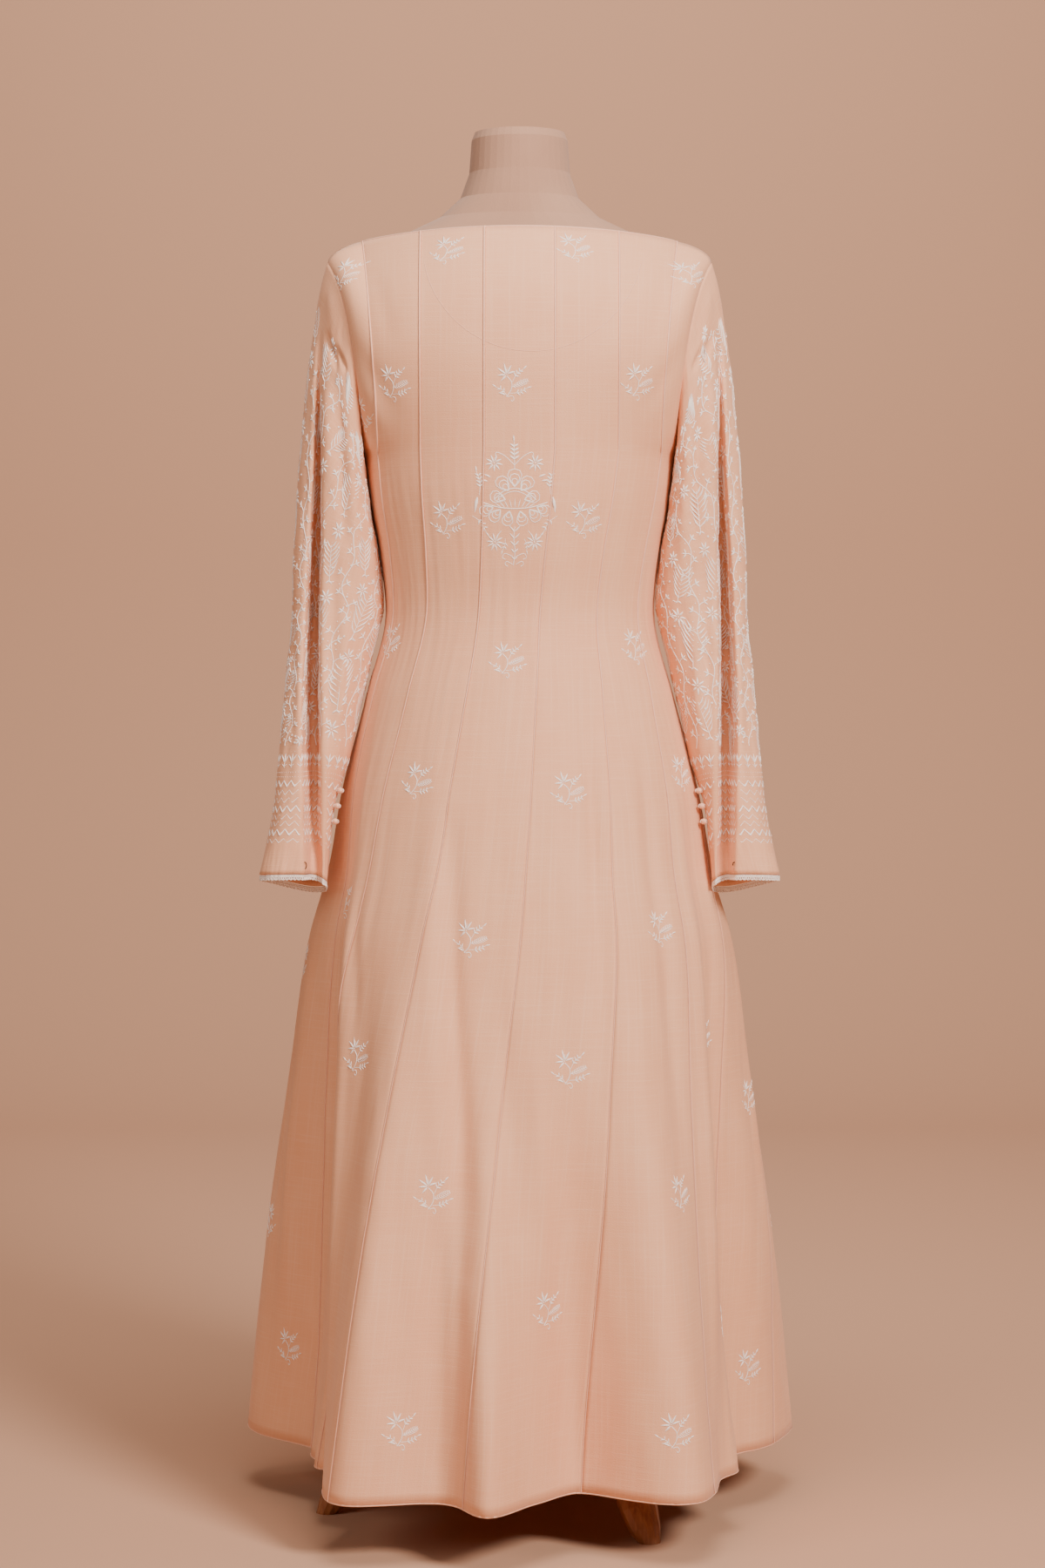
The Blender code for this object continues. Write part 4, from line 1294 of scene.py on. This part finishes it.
def addCuff(side):
    edge = onSide(leftRings[-1] + leftRings[-1][:1], side)
    lengths = [0.0]
    for a, b in zip(edge, edge[1:]):
        lengths.append(lengths[-1] + 1000 * (b - a).length)
    around = lengths[-1]

    def at(along, below):
        along %= around
        i = max(k for k in range(len(edge) - 1) if lengths[k] <= along)
        spot = edge[i].lerp(edge[i + 1], (along - lengths[i]) / (lengths[i + 1] - lengths[i]))
        return spot - Vector((0.0, 0.0, 0.001 * below))

    top, second, bottom = laceCut["top"], laceCut["second"], laceCut["bottom"]
    count = round(around / laceCut["scallop"])
    step = around / count
    threads = []
    for below in (top, second):
        line = [at(around * k / laceCut["cordSteps"], below) for k in range(laceCut["cordSteps"] + 1)]
        threads.append(evenStroke(line, laceCut["cord"]))
    for k in range(count):
        x = k * step
        for half in (0.0, 0.5):
            line = [at(x + half * step, top), at(x + (half + 0.5) * step, second)]
            threads.append(evenStroke(line, laceCut["lattice"]))
        arc = []
        for i in range(7):
            turn = math.pi * i / 6
            drop = second + (bottom - second) * math.sin(turn) ** 0.6
            arc.append(at(x + step * (0.5 - 0.5 * math.cos(turn)), drop))
        threads.append(evenStroke(arc, laceCut["arch"]))
        line = [at(x + 0.5 * step, second), at(x + 0.5 * step, bottom - 0.8)]
        threads.append((line, [laceCut["picot"], 0.7]))
    lace = strokesToMesh(side + "_cuff_lace_threads", threads, 0.001, threadWhite)
    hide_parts("cuff_lace_" + side)


# Thread loops round the cuff's buttons and a wire hook at its back fold; the hook's spot and
# sizes are in metres.
fastening = {
    "buttons": (1, 2, 3),
    "halfWidth": 0.45,
    "loopWide": 1.15,  # against the button's own reach
    "loopHigh": 0.75,
    "hookX": 0.2065,
    "hookY": -0.075,
    "hookWide": 0.0016,
    "hookHigh": 0.0034,
    "hookOut": 0.0012,
}


def addFastening(side):
    loops = []
    for number in fastening["buttons"]:
        low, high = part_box(f"cuff_button_{side}_{number}")
        centre, reach = (low + high) / 2, (high.x - low.x) / 2
        ring = []
        for k in range(13):
            turn = 2 * math.pi * k / 12
            wide = math.cos(turn) * reach * fastening["loopWide"]
            ring.append(centre + Vector((wide, 0.0, math.sin(turn) * reach * fastening["loopHigh"])))
        loops.append(evenStroke(ring, fastening["halfWidth"]))
    piece = strokesToMesh(side + "_cuff_loops", loops, 0.001, threadWhite)
    hookX = fastening["hookX"] * (-1.0 if side == "right" else 1.0)
    edge = onSide(leftRings[-3], side)
    foot = min(edge, key=lambda p: (p - Vector((middle.x - hookX, fastening["hookY"], p.z))).length)
    wire = []
    for k in range(15):
        turn = math.radians(-100 + 20 * k)
        wide = fastening["hookWide"] * math.cos(turn)
        wire.append(foot + Vector((wide, -fastening["hookOut"], fastening["hookHigh"] * math.sin(turn))))
    hook = strokesToMesh(side + "_cuff_hook", [evenStroke(wire, fastening["halfWidth"])], 0.001, hookMetal)


for side in ("left", "right"):
    addCuff(side)
    addFastening(side)
print("cuffs finished")

# The finishes of the form, the stand and the buttons, whose shapes stay as they came.
finishes = {"form_torso": formCover}
for name in ("stand_pole", "stand_hub", "stand_leg_1", "stand_leg_2", "stand_leg_3"):
    finishes[name] = standWood
for side in ("left", "right"):
    for number in fastening["buttons"]:
        finishes[f"cuff_button_{side}_{number}"] = threadPeach
for name, material in finishes.items():
    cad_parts[name].material_slots[0].material = material
print("form and stand finished")

studio = {
    "floor": "#C99D80",
    "sweepRadius": 1.2,
    "wallHeight": 5.0,
    "air": "#F1E2D7",
    "airStrength": 0.11,
    "cameraSide": 0.003,
    "cameraDistance": 3.5,
    "cameraHeight": 0.86,
    "cameraPitch": -1.67,
    "lens": 76.9,
}
# Lights: name, place, what it looks at, size, watts, colour.
lights = (
    ("soft key", (1.9, -3.0, 2.7), (0.0, 0.0, 1.15), 1.1, 214.0, "#FFF3EA"),
    ("soft fill", (-2.8, -2.6, 2.2), (0.0, 0.0, 1.15), 2.0, 46.0, "#FFF1E6"),
    ("top", (0.1, -0.9, 3.3), (0.0, 0.0, 1.2), 1.6, 60.0, "#FFF3EA"),
    ("backdrop wash", (0.0, 1.4, 3.4), (0.0, 5.0, 1.7), 2.4, 84.0, "#FFF3EA"),
)


def addStage():
    # one pale sweep: a floor that curves up into a backdrop
    bm = bmesh.new()
    bmesh.ops.create_grid(bm, x_segments=1, y_segments=1, size=6.0)
    back = [edge for edge in bm.edges if all(vert.co.y > 5.9 for vert in edge.verts)]
    turned = bmesh.ops.spin(
        bm,
        geom=back,
        cent=(0.0, 6.0, studio["sweepRadius"]),
        axis=(1.0, 0.0, 0.0),
        angle=math.radians(90.0),
        steps=12,
    )
    top = [item for item in turned["geom_last"] if isinstance(item, bmesh.types.BMEdge)]
    raised = bmesh.ops.extrude_edge_only(bm, edges=top)
    verts = [item for item in raised["geom"] if isinstance(item, bmesh.types.BMVert)]
    bmesh.ops.translate(bm, verts=verts, vec=(0.0, 0.0, studio["wallHeight"]))
    bmesh.ops.translate(bm, verts=bm.verts, vec=(0.0, -3.0, 0.0))
    bmesh.ops.recalc_face_normals(bm, faces=bm.faces)
    mesh = bpy.data.meshes.new("studio_floor")
    bm.to_mesh(mesh)
    bm.free()
    for face in mesh.polygons:
        face.use_smooth = True
    paper = {"Base Color": linear(studio["floor"]), "Roughness": 0.95}
    mesh.materials.append(newMaterial("matt paper sweep", paper))
    intoScene("studio_floor", mesh)


def addLight(name, place, target, size, power, colour):
    data = bpy.data.lights.new(name, "AREA")
    data.shape = "DISK"
    data.size = size
    data.energy = power
    data.color = linear(colour)[:3]
    light = intoScene(name, data)
    light.location = place
    light.rotation_euler = (Vector(target) - Vector(place)).to_track_quat("-Z", "Y").to_euler()


def addStudio():
    addStage()
    for light in lights:
        addLight(*light)
    world = bpy.data.worlds.new("studio air")
    bpy.context.scene.world = world
    world.use_nodes = True
    air = world.node_tree.nodes["Background"]
    air.inputs["Color"].default_value = linear(studio["air"])
    air.inputs["Strength"].default_value = studio["airStrength"]
    lens = bpy.data.cameras.new("camera")
    lens.lens = studio["lens"]
    lens.sensor_width = 36.0
    camera = intoScene("camera", lens)
    camera.location = middle + Vector(
        (studio["cameraSide"], -studio["cameraDistance"], studio["cameraHeight"])
    )
    camera.rotation_euler = (math.radians(90.0 + studio["cameraPitch"]), 0.0, 0.0)
    bpy.context.scene.camera = camera


addStudio()
print("scene done")
